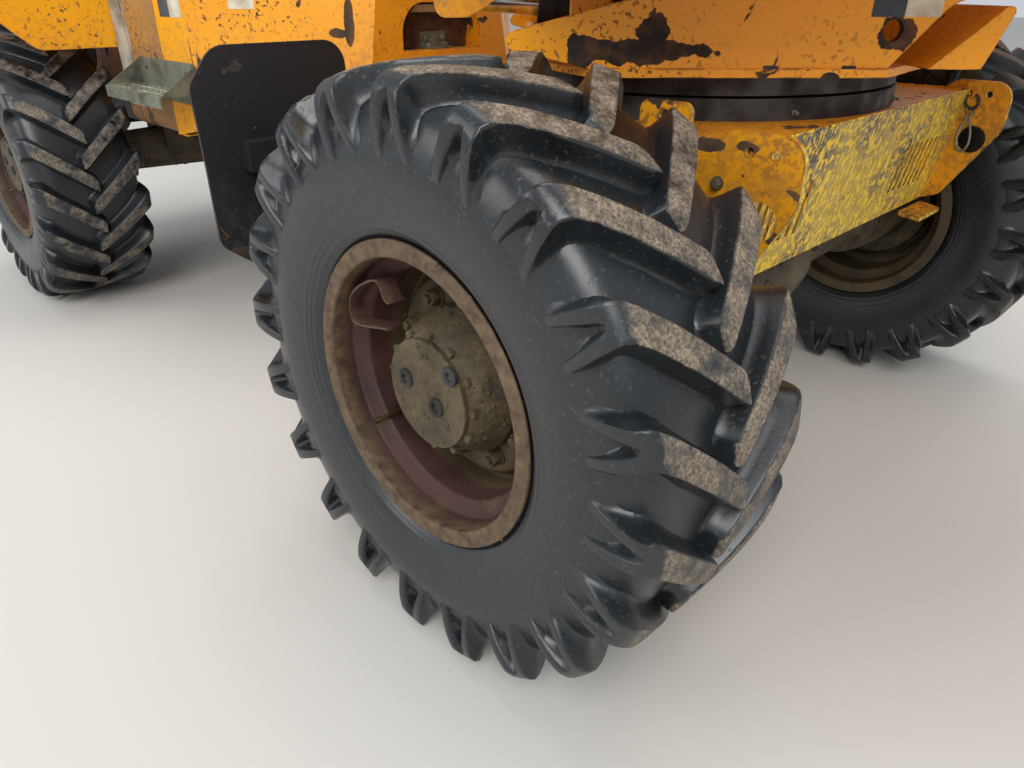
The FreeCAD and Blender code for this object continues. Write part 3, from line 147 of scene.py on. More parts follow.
def lit_front_and_mud(tree, place, coat, forward_light_tint):
    """The coat with its forward faces painted paler as painted light, and streaked with mud thrown up by the
    wheels.
    """
    normal = put(tree, "ShaderNodeNewGeometry").outputs["Normal"]
    axes = put(tree, "ShaderNodeSeparateXYZ", inputs={"Vector": normal})
    forward = put(tree, "ShaderNodeMapRange", inputs={
        "Value": axes.outputs["X"], "From Min": 0.6, "From Max": 0.8}).outputs["Result"]
    # Painted light: the forward faces take the paler tint in place of the lamps' light falling on them
    pale = put(tree, "ShaderNodeMix", mixed, {0: forward, 6: coat, 7: colour(forward_light_tint)})
    streaked = put(tree, "ShaderNodeMapping", inputs={"Vector": place, "Scale": (1.0, 1.0, 0.75)})
    streaks = patches(tree, streaked.outputs["Vector"], 0.0072, 0.60, soft=0.03, detail=7.0)
    wide = patches(tree, place, 0.09, 0.5, soft=0.12)
    thin = put(tree, "ShaderNodeMath", {"operation": "MULTIPLY_ADD", "use_clamp": True}, {
        0: wide, 1: -0.5, 2: 1.0})
    mud = put(tree, "ShaderNodeMix", mixed, {
        0: patches(tree, place, 0.0045, 0.52, soft=0.08, detail=5.0), 6: colour("#857862"),
        7: colour("#332F2A")})
    share = put(tree, "ShaderNodeMath", product, {0: streaks, 1: thin.outputs[0]})
    share = put(tree, "ShaderNodeMath", product, {0: share.outputs[0], 1: forward})
    lit_and_muddied = put(tree, "ShaderNodeMix", mixed, {
        0: share.outputs[0], 6: pale.outputs[2], 7: mud.outputs[2]})
    return lit_and_muddied.outputs[2]


def bare_colour_mask(tree, place, spots, ragged):
    """Mask of the known places that take the bare colour: where the paint is off, and on the cowl the arch's
    recess. Each is a centre and its level and upright radius.
    """
    rough = put(tree, "ShaderNodeTexNoise", inputs={"Vector": place, "Scale": 26.0, "Detail": 6.0})
    whole = 0.0
    for centre, level, upright in spots:
        scaled = put(tree, "ShaderNodeVectorMath", {"operation": "SUBTRACT"}, {0: place, 1: centre})
        scaled = put(tree, "ShaderNodeVectorMath", {"operation": "DIVIDE"}, {
            0: scaled.outputs[0], 1: (level, level, upright)})
        away = put(tree, "ShaderNodeVectorMath", {"operation": "LENGTH"}, {0: scaled.outputs[0]})
        edge = put(tree, "ShaderNodeMath", {"operation": "MULTIPLY_ADD"}, {
            0: rough.outputs["Fac"], 1: ragged, 2: away.outputs["Value"]})
        inside = put(tree, "ShaderNodeMapRange", inputs={
            "Value": edge.outputs[0], "From Min": 1.02 + ragged / 2, "From Max": 0.98 + ragged / 2})
        both = put(tree, "ShaderNodeMath", larger, {0: inside.outputs[0], 1: whole})
        whole = both.outputs[0]
    return whole


def enamel(name, paint, shade, bare, speck, speck_share, flake, flake_share, edge_wear, dirt, dirt_share,
           dirt_top, shine=0.34, forward_light_tint=None, bare_places=(), ragged=1.6):
    """Sprayed alkyd enamel on steel plate: glossy where clean, chipped to dark primer, dusty low down."""
    material, tree, shader, place = empty_material(name)
    cloud = patches(tree, place, 0.5, 0.5, soft=0.2, detail=3.0)
    coat = put(tree, "ShaderNodeMix", mixed, {0: cloud, 6: colour(paint), 7: colour(shade)})
    region = patches(tree, place, 0.33, 0.45, soft=0.12)
    small = patches(tree, place, speck, speck_share, soft=0.02, detail=3.0)
    large = patches(tree, place, flake, flake_share, soft=0.006, detail=7.0, distortion=0.7)
    gathered = put(tree, "ShaderNodeMath", product, {0: small, 1: region})
    rubbed = patches(tree, place, 0.035, 0.5, soft=0.05)
    corners = put(tree, "ShaderNodeMath", product, {
        0: sharp_edges(tree, edge_wear), 1: rubbed})
    chips = put(tree, "ShaderNodeMath", larger, {
        0: gathered.outputs[0], 1: large})
    chips = put(tree, "ShaderNodeMath", larger, {
        0: chips.outputs[0], 1: corners.outputs[0]})
    if bare_places:
        chips = put(tree, "ShaderNodeMath", larger, {
            0: chips.outputs[0], 1: bare_colour_mask(tree, place, bare_places, ragged)})
    rust = put(tree, "ShaderNodeMix", mixed, {
        0: patches(tree, place, 0.02, 0.4, soft=0.1), 6: colour(bare), 7: colour("#5A3A24")})
    worn = put(tree, "ShaderNodeMix", mixed, {
        0: chips.outputs[0], 6: coat.outputs[2], 7: rust.outputs[2]})
    film = patches(tree, place, 0.12, dirt_share, soft=0.16, detail=6.0, distortion=0.4)
    spatter = patches(tree, place, 0.012, 0.42, soft=0.05, detail=3.0)
    spread = put(tree, "ShaderNodeMath", product, {0: film, 1: spatter})
    layer = put(tree, "ShaderNodeMath", {"operation": "MULTIPLY_ADD", "use_clamp": True}, {
        0: film, 1: 0.45, 2: spread.outputs[0]})
    veil = put(tree, "ShaderNodeMath", product, {
        0: layer.outputs[0], 1: low_down(tree, place, 0.45, dirt_top)})
    final = put(tree, "ShaderNodeMix", mixed, {
        0: veil.outputs[0], 6: worn.outputs[2], 7: colour(dirt)}).outputs[2]
    # Painted light: with a tint given, the forward faces are painted paler
    if forward_light_tint:
        final = lit_front_and_mud(tree, place, final, forward_light_tint)
    rough = put(tree, "ShaderNodeMath", larger, {0: chips.outputs[0], 1: veil.outputs[0]})
    roughness = put(tree, "ShaderNodeMapRange", inputs={
        "Value": rough.outputs[0], "To Min": shine, "To Max": 0.85})
    ripple = put(tree, "ShaderNodeTexNoise", inputs={"Vector": place, "Scale": 55.0, "Detail": 2.0})
    orange_peel = put(tree, "ShaderNodeBump", inputs={
        "Height": ripple.outputs["Fac"], "Strength": 0.25, "Distance": 1.2 * mm})
    crater = put(tree, "ShaderNodeBump", {"invert": True}, {
        "Height": chips.outputs[0], "Strength": 0.6, "Distance": 0.9 * mm,
        "Normal": orange_peel.outputs["Normal"]})
    crust = put(tree, "ShaderNodeBump", inputs={
        "Height": veil.outputs[0], "Strength": 0.5, "Distance": 1.6 * mm,
        "Normal": crater.outputs["Normal"]})
    tree.links.new(final, shader.inputs["Base Color"])
    tree.links.new(roughness.outputs["Result"], shader.inputs["Roughness"])
    tree.links.new(crust.outputs["Normal"], shader.inputs["Normal"])
    return material


def caked(name, under, mud, dry, cover, grain, shine):
    """A metal piece under a caked layer of mud: soft lumps, crumbs of the metal's colour, damp in places."""
    material, tree, shader, place = empty_material(name)
    layer = patches(tree, place, 0.055, cover, soft=0.16, detail=8.0, distortion=0.3)
    damp = patches(tree, place, 0.10, 0.5, soft=0.28, detail=6.0)
    soil = put(tree, "ShaderNodeMix", mixed, {0: damp, 6: colour(dry), 7: colour(mud)})
    speckle = patches(tree, place, 0.006, 0.3, soft=0.16, detail=4.0)
    crumbs = put(tree, "ShaderNodeMath", product, {0: speckle, 1: 0.55})
    soil = put(tree, "ShaderNodeMix", mixed, {
        0: crumbs.outputs[0], 6: soil.outputs[2], 7: colour(under)})
    face = put(tree, "ShaderNodeMix", mixed, {
        0: layer, 6: colour(under), 7: soil.outputs[2]})
    lumps = put(tree, "ShaderNodeTexNoise", inputs={
        "Vector": place, "Scale": 0.55 / grain, "Detail": 8.0, "Roughness": 0.62})
    thick = put(tree, "ShaderNodeMath", {"operation": "MULTIPLY_ADD"}, {
        0: lumps.outputs["Fac"], 1: 0.6, 2: layer})
    relief = put(tree, "ShaderNodeBump", inputs={
        "Height": thick.outputs[0], "Strength": 0.8, "Distance": 4 * mm})
    roughness = put(tree, "ShaderNodeMapRange", inputs={
        "Value": damp, "To Min": 0.9, "To Max": shine})
    tree.links.new(face.outputs[2], shader.inputs["Base Color"])
    tree.links.new(roughness.outputs["Result"], shader.inputs["Roughness"])
    tree.links.new(relief.outputs["Normal"], shader.inputs["Normal"])
    return material


def rusted_rim(name):
    """Rim: rusty tan grime on the flanges, dark red-brown paint in the well, mud on the disc."""
    material, tree, shader, place = empty_material(name)
    axes = put(tree, "ShaderNodeSeparateXYZ", inputs={"Vector": place})
    shifted = put(tree, "ShaderNodeMath", {"operation": "SUBTRACT"}, {0: axes.outputs["Y"], 1: origin.y})
    from_middle = put(tree, "ShaderNodeMath", {"operation": "ABSOLUTE"}, {0: shifted.outputs[0]})
    outwards = put(tree, "ShaderNodeMath", {"operation": "SUBTRACT"}, {
        0: from_middle.outputs[0], 1: half_track})
    # From here on in metres outwards from the tyre's middle plane
    flange = put(tree, "ShaderNodeMapRange", inputs={
        "Value": outwards.outputs[0], "From Min": 0.128, "From Max": 0.158})
    disc = put(tree, "ShaderNodeMapRange", inputs={
        "Value": outwards.outputs[0], "From Min": 0.062, "From Max": 0.045})
    wide = patches(tree, place, 0.06, 0.5, soft=0.25, detail=7.0)
    well = put(tree, "ShaderNodeMix", mixed, {0: wide, 6: colour("#4E2C26"), 7: colour("#2B1B18")})
    grime = put(tree, "ShaderNodeMix", mixed, {
        0: patches(tree, place, 0.012, 0.5, soft=0.2, detail=6.0), 6: colour("#6B583E"),
        7: colour("#3F2C20")})
    mud = put(tree, "ShaderNodeMix", mixed, {0: wide, 6: colour("#5E4E32"), 7: colour("#2A241A")})
    edge = put(tree, "ShaderNodeMix", mixed, {
        0: flange.outputs["Result"], 6: well.outputs[2], 7: grime.outputs[2]})
    splashed = patches(tree, place, 0.05, 0.22, soft=0.05, detail=7.0, distortion=0.4)
    low = put(tree, "ShaderNodeMath", product, {
        0: splashed, 1: low_down(tree, place, 0.25, 0.60)})
    muddy = put(tree, "ShaderNodeMath", larger, {0: disc.outputs["Result"], 1: low.outputs[0]})
    face = put(tree, "ShaderNodeMix", mixed, {
        0: muddy.outputs[0], 6: edge.outputs[2], 7: mud.outputs[2]})
    crust = put(tree, "ShaderNodeTexNoise", inputs={
        "Vector": place, "Scale": 34.0, "Detail": 8.0, "Roughness": 0.65})
    relief = put(tree, "ShaderNodeBump", inputs={
        "Height": crust.outputs["Fac"], "Strength": 0.7, "Distance": 3 * mm})
    roughness = put(tree, "ShaderNodeMapRange", inputs={"Value": wide, "To Min": 0.85, "To Max": 0.5})
    tree.links.new(face.outputs[2], shader.inputs["Base Color"])
    tree.links.new(roughness.outputs["Result"], shader.inputs["Roughness"])
    tree.links.new(relief.outputs["Normal"], shader.inputs["Normal"])
    return material


def wet_rubber(name):
    """Moulded tyre rubber, wet: bluish black with a soft sheen, and pale sand where the lugs stand proud."""
    material, tree, shader, place = empty_material(name)
    bloom = patches(tree, place, 0.16, 0.45, soft=0.2, detail=5.0)
    rubber = put(tree, "ShaderNodeMix", mixed, {
        0: bloom, 6: colour("#111518"), 7: colour("#20262A")})
    proud = put(tree, "ShaderNodeAttribute", {"attribute_name": "sand"})
    blotch = put(tree, "ShaderNodeTexNoise", inputs={
        "Vector": place, "Scale": 21.0, "Detail": 9.0, "Roughness": 0.74})
    sum_up = put(tree, "ShaderNodeMath", {"operation": "ADD"}, {
        0: blotch.outputs["Fac"], 1: proud.outputs["Fac"]})
    coat = put(tree, "ShaderNodeMapRange", inputs={
        "Value": sum_up.outputs[0], "From Min": 1.36, "From Max": 1.56})
    grain = put(tree, "ShaderNodeTexNoise", inputs={
        "Vector": place, "Scale": 190.0, "Detail": 5.0, "Roughness": 0.7})
    tone = put(tree, "ShaderNodeMapRange", inputs={
        "Value": grain.outputs["Fac"], "From Min": 0.36, "From Max": 0.62})
    sand = put(tree, "ShaderNodeMix", mixed, {
        0: tone.outputs["Result"], 6: colour("#4A433B"), 7: colour("#A2927D")})
    splash = patches(tree, place, 0.004, 0.10, soft=0.04, detail=3.0)
    thin = put(tree, "ShaderNodeMath", product, {0: splash, 1: 0.12})
    cover = put(tree, "ShaderNodeMath", larger, {0: coat.outputs["Result"], 1: thin.outputs[0]})
    face = put(tree, "ShaderNodeMix", mixed, {
        0: cover.outputs[0], 6: rubber.outputs[2], 7: sand.outputs[2]})
    wet = put(tree, "ShaderNodeMapRange", inputs={"Value": bloom, "To Min": 0.24, "To Max": 0.44})
    roughness = put(tree, "ShaderNodeMix", {"data_type": "FLOAT"}, {
        0: cover.outputs[0], 2: wet.outputs["Result"], 3: 0.95})
    grit = put(tree, "ShaderNodeMath", product, {0: grain.outputs["Fac"], 1: cover.outputs[0]})
    relief = put(tree, "ShaderNodeBump", inputs={
        "Height": grit.outputs[0], "Strength": 0.9, "Distance": 2.5 * mm})
    skin = put(tree, "ShaderNodeTexNoise", inputs={"Vector": place, "Scale": 90.0, "Detail": 4.0})
    fine = put(tree, "ShaderNodeBump", inputs={
        "Height": skin.outputs["Fac"], "Strength": 0.18, "Distance": 1.5 * mm,
        "Normal": relief.outputs["Normal"]})
    tree.links.new(face.outputs[2], shader.inputs["Base Color"])
    tree.links.new(roughness.outputs[0], shader.inputs["Roughness"])
    tree.links.new(fine.outputs["Normal"], shader.inputs["Normal"])
    shader.inputs["Specular IOR Level"].default_value = 0.6
    return material


def stained_surface(name, base, stain, metallic, clean_rough, stained_rough, stain_share, scratch=0.0):
    """Bare metal or a moulded piece, stained in patches; scratch stretches its fine lines."""
    material, tree, shader, place = empty_material(name)
    spots = patches(tree, place, 0.05, stain_share, soft=0.1, detail=6.0)
    face = put(tree, "ShaderNodeMix", mixed, {0: spots, 6: colour(base), 7: colour(stain)})
    roughness = put(tree, "ShaderNodeMapRange", inputs={
        "Value": spots, "To Min": clean_rough, "To Max": stained_rough})
    drawn = put(tree, "ShaderNodeMapping", inputs={
        "Vector": place, "Scale": (1.0 + scratch, 1.0 + scratch, 1.0)})
    lines = put(tree, "ShaderNodeTexNoise", inputs={
        "Vector": drawn.outputs["Vector"], "Scale": 160.0, "Detail": 3.0})
    relief = put(tree, "ShaderNodeBump", inputs={
        "Height": lines.outputs["Fac"], "Strength": 0.3, "Distance": 0.5 * mm})
    shader.inputs["Metallic"].default_value = metallic
    tree.links.new(face.outputs[2], shader.inputs["Base Color"])
    tree.links.new(roughness.outputs["Result"], shader.inputs["Roughness"])
    tree.links.new(relief.outputs["Normal"], shader.inputs["Normal"])
    return material


cheek_half = 0.508

# Where the paint is off in the photograph: the place, its level and its upright radius. The cowl's first
# three spots instead darken the arch's recess behind the cowl's front with the bare colour.
cowl_bare_places = [(at(-1.242, 0, 1.06), 0.067, 0.15), (at(-1.242, -0.10, 1.06), 0.067, 0.10),
               (at(-1.242, 0.10, 1.06), 0.067, 0.10), (at(-1.224, -0.325, 1.075), 0.016, 0.075),
               (at(-1.252, -0.350, 1.045), 0.030, 0.014)]
chassis_flakes = [(at(0.205, -0.56, 0.930), 0.036, 0.012), (at(0.282, -0.56, 0.934), 0.020, 0.009),
                  (at(0.352, -0.56, 0.795), 0.018, 0.014)]
cheek_flakes = [(slewed(-0.205, -cheek_half, 1.064), 0.120, 0.022),
                (slewed(-0.190, -cheek_half, 1.100), 0.030, 0.032),
                (slewed(-0.318, -cheek_half, 1.066), 0.026, 0.034),
                (slewed(0.258, -cheek_half, 1.095), 0.038, 0.032),
                (slewed(0.150, -cheek_half, 1.012), 0.020, 0.016)]

body_enamel = enamel(
    "sprayed_enamel_body", paint="#F7AC12", shade="#F29C0A", bare="#2A211B", speck=0.006, speck_share=0.12,
    flake=0.09, flake_share=0.03, edge_wear=5 * mm, dirt="#8A6234", dirt_share=0.4, dirt_top=1.25)
cowl_enamel = enamel(
    "sprayed_enamel_cowl", paint="#F7A812", shade="#EE930C", bare="#2E2725", speck=0.006, speck_share=0.14,
    flake=0.07, flake_share=0.04, edge_wear=5 * mm, dirt="#8A6234", dirt_share=0.4, dirt_top=1.25,
    bare_places=cowl_bare_places, ragged=0.8)
tank_enamel = enamel(
    "stained_enamel_tank", paint="#B98340", shade="#8B6A4A", bare="#3A2E26", speck=0.007, speck_share=0.3,
    flake=0.10, flake_share=0.08, edge_wear=5 * mm, dirt="#75593F", dirt_share=0.6, dirt_top=1.4)
# Painted light: the chassis's forward faces are painted the paler yellow #F0C52A
chassis_enamel = enamel(
    "sprayed_enamel_chassis", paint="#EFA516", shade="#DE9210", bare="#3A2C20", speck=0.0075,
    speck_share=0.42, flake=0.05, flake_share=0.09, edge_wear=7 * mm, dirt="#6E5230", dirt_share=0.4,
    dirt_top=1.15, forward_light_tint="#F0C52A", bare_places=chassis_flakes)
cheek_enamel = enamel(
    "sprayed_enamel_cheek", paint="#F5A30E", shade="#EC960A", bare="#231C18", speck=0.0055, speck_share=0.20,
    flake=0.06, flake_share=0.02, edge_wear=4 * mm, dirt="#9A6A2C", dirt_share=0.3, dirt_top=1.10,
    bare_places=cheek_flakes)
skip_enamel = enamel(
    "sprayed_enamel_skip", paint="#F8AE14", shade="#F09E0C", bare="#3A2A20", speck=0.007, speck_share=0.30,
    flake=0.06, flake_share=0.08, edge_wear=7 * mm, dirt="#8B7150", dirt_share=0.5, dirt_top=2.1)
black_enamel = enamel(
    "black_chassis_enamel", paint="#232529", shade="#1B1D20", bare="#38322C", speck=0.005, speck_share=0.10,
    flake=0.05, flake_share=0.015, edge_wear=3 * mm, dirt="#34302B", dirt_share=0.35, dirt_top=1.1,
    shine=0.45)
axle_mud = caked("mud_on_cast_iron", under="#26221E", mud="#4C4031", dry="#75674F", cover=0.8, grain=0.03,
                 shine=0.55)
hub_mud = caked("mud_on_hub_casting", under="#1F1A14", mud="#3E3423", dry="#6F5F40", cover=0.72, grain=0.03,
                shine=0.42)
rim_rust = rusted_rim("rusted_rim_paint")
tyre_rubber = wet_rubber("moulded_tyre_rubber")

# Each: its colour and its stain's, metallic, roughness where clean and where stained, share stained
race_steel = stained_surface("greased_race_steel", "#4A4A48", "#2A2622", 0.5, 0.45, 0.7, 0.5)
galvanised = stained_surface("hot_dip_galvanised_steel", "#8A8F80", "#5F5B4E", 0.6, 0.45, 0.75, 0.45)
chromed = stained_surface("hard_chrome_rod", "#C9CBCC", "#9FA0A0", 1.0, 0.12, 0.3, 0.2, scratch=6.0)
cast_iron = stained_surface("engine_cast_iron", "#3A3D40", "#24211E", 0.2, 0.6, 0.8, 0.5)
burnt_steel = stained_surface("heat_stained_exhaust_steel", "#5A5350", "#6A3F28", 0.6, 0.5, 0.8, 0.5)
brass = stained_surface("tarnished_brass", "#7E6A3A", "#4A3E26", 0.9, 0.4, 0.7, 0.5)
pale_sheet = stained_surface("weathered_pale_paint", "#B9B3A5", "#7E7466", 0.0, 0.6, 0.8, 0.45)
label_face = stained_surface("printed_label_film", "#D9D2BE", "#A89E86", 0.0, 0.45, 0.7, 0.35)
label_dark = stained_surface("printed_label_dark_ink", "#2E3A44", "#454C50", 0.0, 0.45, 0.7, 0.35)
vinyl = stained_surface("embossed_seat_vinyl", "#16171A", "#24262A", 0.0, 0.42, 0.6, 0.4)
abs_black = stained_surface("moulded_black_abs", "#141517", "#1E2023", 0.0, 0.45, 0.6, 0.4)
red_lens = stained_surface("moulded_red_acrylic", "#8C0B0B", "#6E0808", 0.0, 0.12, 0.3, 0.3)

finish_of_node = {
    body_enamel: ["side_panels", "rear_fenders", "rear_panel", "engine_cover", "rops_posts", "rops_hoop"],
    cowl_enamel: ["front_cowl"],
    cheek_enamel: ["swivel_frame"],
    tank_enamel: ["side_tanks"],
    chassis_enamel: ["front_frame"],
    skip_enamel: ["skip"],
    black_enamel: ["rear_frame", "front_mudguards", "cab_floor", "counterweight", "console", "seat_base",
                   "tip_ram_barrel", "steering_ram_barrel"],
    axle_mud: ["front_axle", "rear_axle", "centre_knuckle"],
    hub_mud: ["hub_fl", "hub_fr", "hub_rl", "hub_rr"],
    rim_rust: ["rim_fl", "rim_fr", "rim_rl", "rim_rr"],
    tyre_rubber: ["tyre_fl", "tyre_fr", "tyre_rl", "tyre_rr"],
    race_steel: ["slew_ring_lower", "slew_ring_upper"],
    galvanised: ["steps"],
    chromed: ["tip_ram_rod", "steering_ram_rod"],
    cast_iron: ["engine_block"],
    burnt_steel: ["exhaust"],
    vinyl: ["seat_cushion", "seat_back"],
    abs_black: ["steering_wheel", "levers"],
    red_lens: ["tail_lamps"],
}
for finish, names in finish_of_node.items():
    for name in names:
        frame["nodes"][name].data.materials.clear()
        frame["nodes"][name].data.materials.append(finish)


def shade_smooth(mesh):
    mesh.polygons.foreach_set("use_smooth", [True] * len(mesh.polygons))


class Form:
    """Faces gathered for one mesh, each sub-form added with its own points."""

    def __init__(self):
        self.points = []
        self.faces = []

    def add(self, points, faces):
        first = len(self.points)
        self.points += [Vector(p) for p in points]
        self.faces += [tuple(first + i for i in face) for face in faces]

    def add_grid(self, rows, round_way=False):
        """Rows of points joined by quads; round_way joins each row's last point to its first."""
        across = len(rows[0])
        faces = []
        for r in range(len(rows) - 1):
            for c in range(across if round_way else across - 1):
                d = (c + 1) % across
                faces.append((r * across + c, r * across + d, (r + 1) * across + d, (r + 1) * across + c))
        self.add([p for row in rows for p in row], faces)

    def add_prism(self, outline, push):
        """A flat outline in space, pushed along a vector and closed at both ends."""
        count = len(outline)
        near = [Vector(p) for p in outline]
        far = [p + Vector(push) for p in near]
        faces = [tuple(range(count)), tuple(reversed(range(count, 2 * count)))]
        faces += [(i, count + i, count + (i + 1) % count, (i + 1) % count) for i in range(count)]
        self.add(near + far, faces)

    def add_box(self, low, high):
        self.add_prism([(low[0], low[1], low[2]), (high[0], low[1], low[2]), (high[0], high[1], low[2]),
                        (low[0], high[1], low[2])], (0, 0, high[2] - low[2]))

    def add_bar(self, start, end, radius, sides):
        start, end = Vector(start), Vector(end)
        across = (end - start).orthogonal().normalized() * radius
        axis = (end - start).normalized()
        ring = [start + Matrix.Rotation(math.tau * i / sides, 3, axis) @ across for i in range(sides)]
        self.add_prism(ring, end - start)

    def add_swept(self, path, section):
        """A closed section of (sideways, upwards) offsets carried along a path of points."""
        rows = []
        upwards = None
        for i, point in enumerate(path):
            ahead = (path[min(i + 1, len(path) - 1)] - path[max(i - 1, 0)]).normalized()
            upwards = ahead.orthogonal() if upwards is None else upwards - ahead * upwards.dot(ahead)
            upwards.normalize()
            sideways = ahead.cross(upwards)
            rows.append([point + sideways * u + upwards * v for u, v in section])
        self.add_grid(rows, round_way=True)
        last = len(self.points)
        count = len(section)
        self.faces.append(tuple(range(last - count, last)))
        self.faces.append(tuple(reversed(range(last - count * len(path), last - count * (len(path) - 1)))))

    def add_turned(self, profile, steps):
        """A closed profile of (along, radius) turned about the Y axis."""
        rows = []
        for i in range(steps):
            angle = math.tau * i / steps
            rows.append([(math.cos(angle) * r, y, math.sin(angle) * r) for y, r in profile])
        rows.append(rows[0])
        self.add_grid(rows, round_way=True)

    def close_ends(self, count):
        """Caps the first and the last row, each of count points."""
        last = len(self.points)
        self.faces += [tuple(range(count)), tuple(range(last - 1, last - count - 1, -1))]

    def mesh(self, name, bevel=0.0, crease=35.0):
        """One closed mesh: doubles merged, faces turned outwards, edges rounded and shaded."""
        made = bpy.data.meshes.new(name)
        made.from_pydata(self.points, [], self.faces)
        work = bmesh.new()
        work.from_mesh(made)
        bmesh.ops.remove_doubles(work, verts=work.verts, dist=0.01 * mm)
        bmesh.ops.recalc_face_normals(work, faces=work.faces)
        if bevel > 0:
            edges = [e for e in work.edges if len(e.link_faces) == 2 and e.calc_face_angle() > 0.6]
            bmesh.ops.bevel(work, geom=edges, offset=bevel, segments=2, affect="EDGES",
                            clamp_overlap=True)
        work.to_mesh(made)
        work.free()
        shade_smooth(made)
        made.set_sharp_from_angle(angle=math.radians(crease))
        return made


def new_piece(name, mesh, body, finish, stands_for=()):
    """Puts a finished mesh in the scene, on its body and in its material slot."""
    mesh.materials.clear()
    mesh.materials.append(finish)
    made = bpy.data.objects.new(name, mesh)
    bpy.context.scene.collection.objects.link(made)
    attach(made, body)
    if stands_for:
        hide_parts(*stands_for)
    return made


def smooth_line(points, rounds):
    """An open line of points with its corners cut round and its ends kept."""
    line = [Vector(p) for p in points]
    for _ in range(rounds):
        cut = [line[0]]
        for a, b in zip(line, line[1:]):
            cut += [a.lerp(b, 0.25), a.lerp(b, 0.75)]
        line = cut + [line[-1]]
    return line


def round_section(radius, sides=10):
    return [(radius * math.cos(math.tau * i / sides), radius * math.sin(math.tau * i / sides))
            for i in range(sides)]


def group_with(name, sockets):
    """An empty Geometry Nodes tree with named inputs and one result."""
    tree = bpy.data.node_groups.new(name, "GeometryNodeTree")
    for label, kind in sockets:
        tree.interface.new_socket(label, in_out="INPUT", socket_type=kind)
    tree.interface.new_socket("Result", in_out="OUTPUT", socket_type="NodeSocketGeometry")
    given = {socket.name: socket for socket in put(tree, "NodeGroupInput").outputs}
    return tree, given


def made_by(tree, start, values):
    """The plain mesh that a tree makes from a mesh."""
    holder = bpy.data.objects.new("holder", start)
    bpy.context.scene.collection.objects.link(holder)
    step = holder.modifiers.new("tree", "NODES")
    step.node_group = tree
    for item in tree.interface.items_tree:
        if item.in_out == "INPUT" and item.name in values:
            step[item.identifier] = values[item.name]
    evaluated = holder.evaluated_get(bpy.context.evaluated_depsgraph_get())
    result = bpy.data.meshes.new_from_object(evaluated)
    bpy.data.objects.remove(holder)
    return result


def hidden_form(name, mesh):
    """An object that only lends its mesh to a tree."""
    made = bpy.data.objects.new(name, mesh)
    bpy.context.scene.collection.objects.link(made)
    lent_forms.append(made)
    return made


lent_forms = []


def lugged_tyre_tree():
    """Tyre: the carcass, with each side's lug repeated round the axle line, the Y axis."""
    tree, given = group_with("lugged_tyre", [
        ("Carcass", "NodeSocketGeometry"), ("Right lug", "NodeSocketObject"),
        ("Left lug", "NodeSocketObject"), ("Lugs a side", "NodeSocketInt"),
        ("Finish", "NodeSocketMaterial")])
    spots = put(tree, "GeometryNodePoints", inputs={"Count": given["Lugs a side"]})
    pitch = put(tree, "ShaderNodeMath", {"operation": "DIVIDE"}, {0: math.tau, 1: given["Lugs a side"]})
    number = put(tree, "GeometryNodeInputIndex")
    angle = put(tree, "ShaderNodeMath", product, {
        0: number.outputs[0], 1: pitch.outputs[0]})
    turn = put(tree, "ShaderNodeCombineXYZ", inputs={"Y": angle.outputs[0]})
    whole = put(tree, "GeometryNodeJoinGeometry")
    tree.links.new(given["Carcass"], whole.inputs[0])
    for side in ("Right lug", "Left lug"):
        lug = put(tree, "GeometryNodeObjectInfo", inputs={"Object": given[side]})
        copies = put(tree, "GeometryNodeInstanceOnPoints", inputs={
            "Points": spots.outputs[0], "Instance": lug.outputs["Geometry"], "Rotation": turn.outputs[0]})
        tree.links.new(copies.outputs[0], whole.inputs[0])
    real = put(tree, "GeometryNodeRealizeInstances", inputs={"Geometry": whole.outputs[0]})
    painted = put(tree, "GeometryNodeSetMaterial", inputs={
        "Geometry": real.outputs[0], "Material": given["Finish"]})
    put(tree, "NodeGroupOutput", inputs={"Result": painted.outputs[0]})
    return tree


def parts_on_spots_tree():
    """A small part on each spot, standing along the spot's facing and turned to its heading."""
    tree, given = group_with("parts_on_spots", [
        ("Spots", "NodeSocketGeometry"), ("Part", "NodeSocketObject"), ("Finish", "NodeSocketMaterial")])
    part = put(tree, "GeometryNodeObjectInfo", inputs={"Object": given["Part"]})
    facing = put(tree, "GeometryNodeInputNamedAttribute", {"data_type": "FLOAT_VECTOR"}, {
        "Name": "facing"})
    heading = put(tree, "GeometryNodeInputNamedAttribute", {"data_type": "FLOAT_VECTOR"}, {
        "Name": "heading"})
    standing = put(tree, "FunctionNodeAlignRotationToVector", {"axis": "Z"}, {
        "Vector": facing.outputs[0]})
    turned = put(tree, "FunctionNodeAlignRotationToVector", {"axis": "X", "pivot_axis": "Z"}, {
        "Rotation": standing.outputs[0], "Vector": heading.outputs[0]})
    copies = put(tree, "GeometryNodeInstanceOnPoints", inputs={
        "Points": given["Spots"], "Instance": part.outputs["Geometry"], "Rotation": turned.outputs[0]})
    real = put(tree, "GeometryNodeRealizeInstances", inputs={"Geometry": copies.outputs[0]})
    painted = put(tree, "GeometryNodeSetMaterial", inputs={
        "Geometry": real.outputs[0], "Material": given["Finish"]})
    put(tree, "NodeGroupOutput", inputs={"Result": painted.outputs[0]})
    return tree


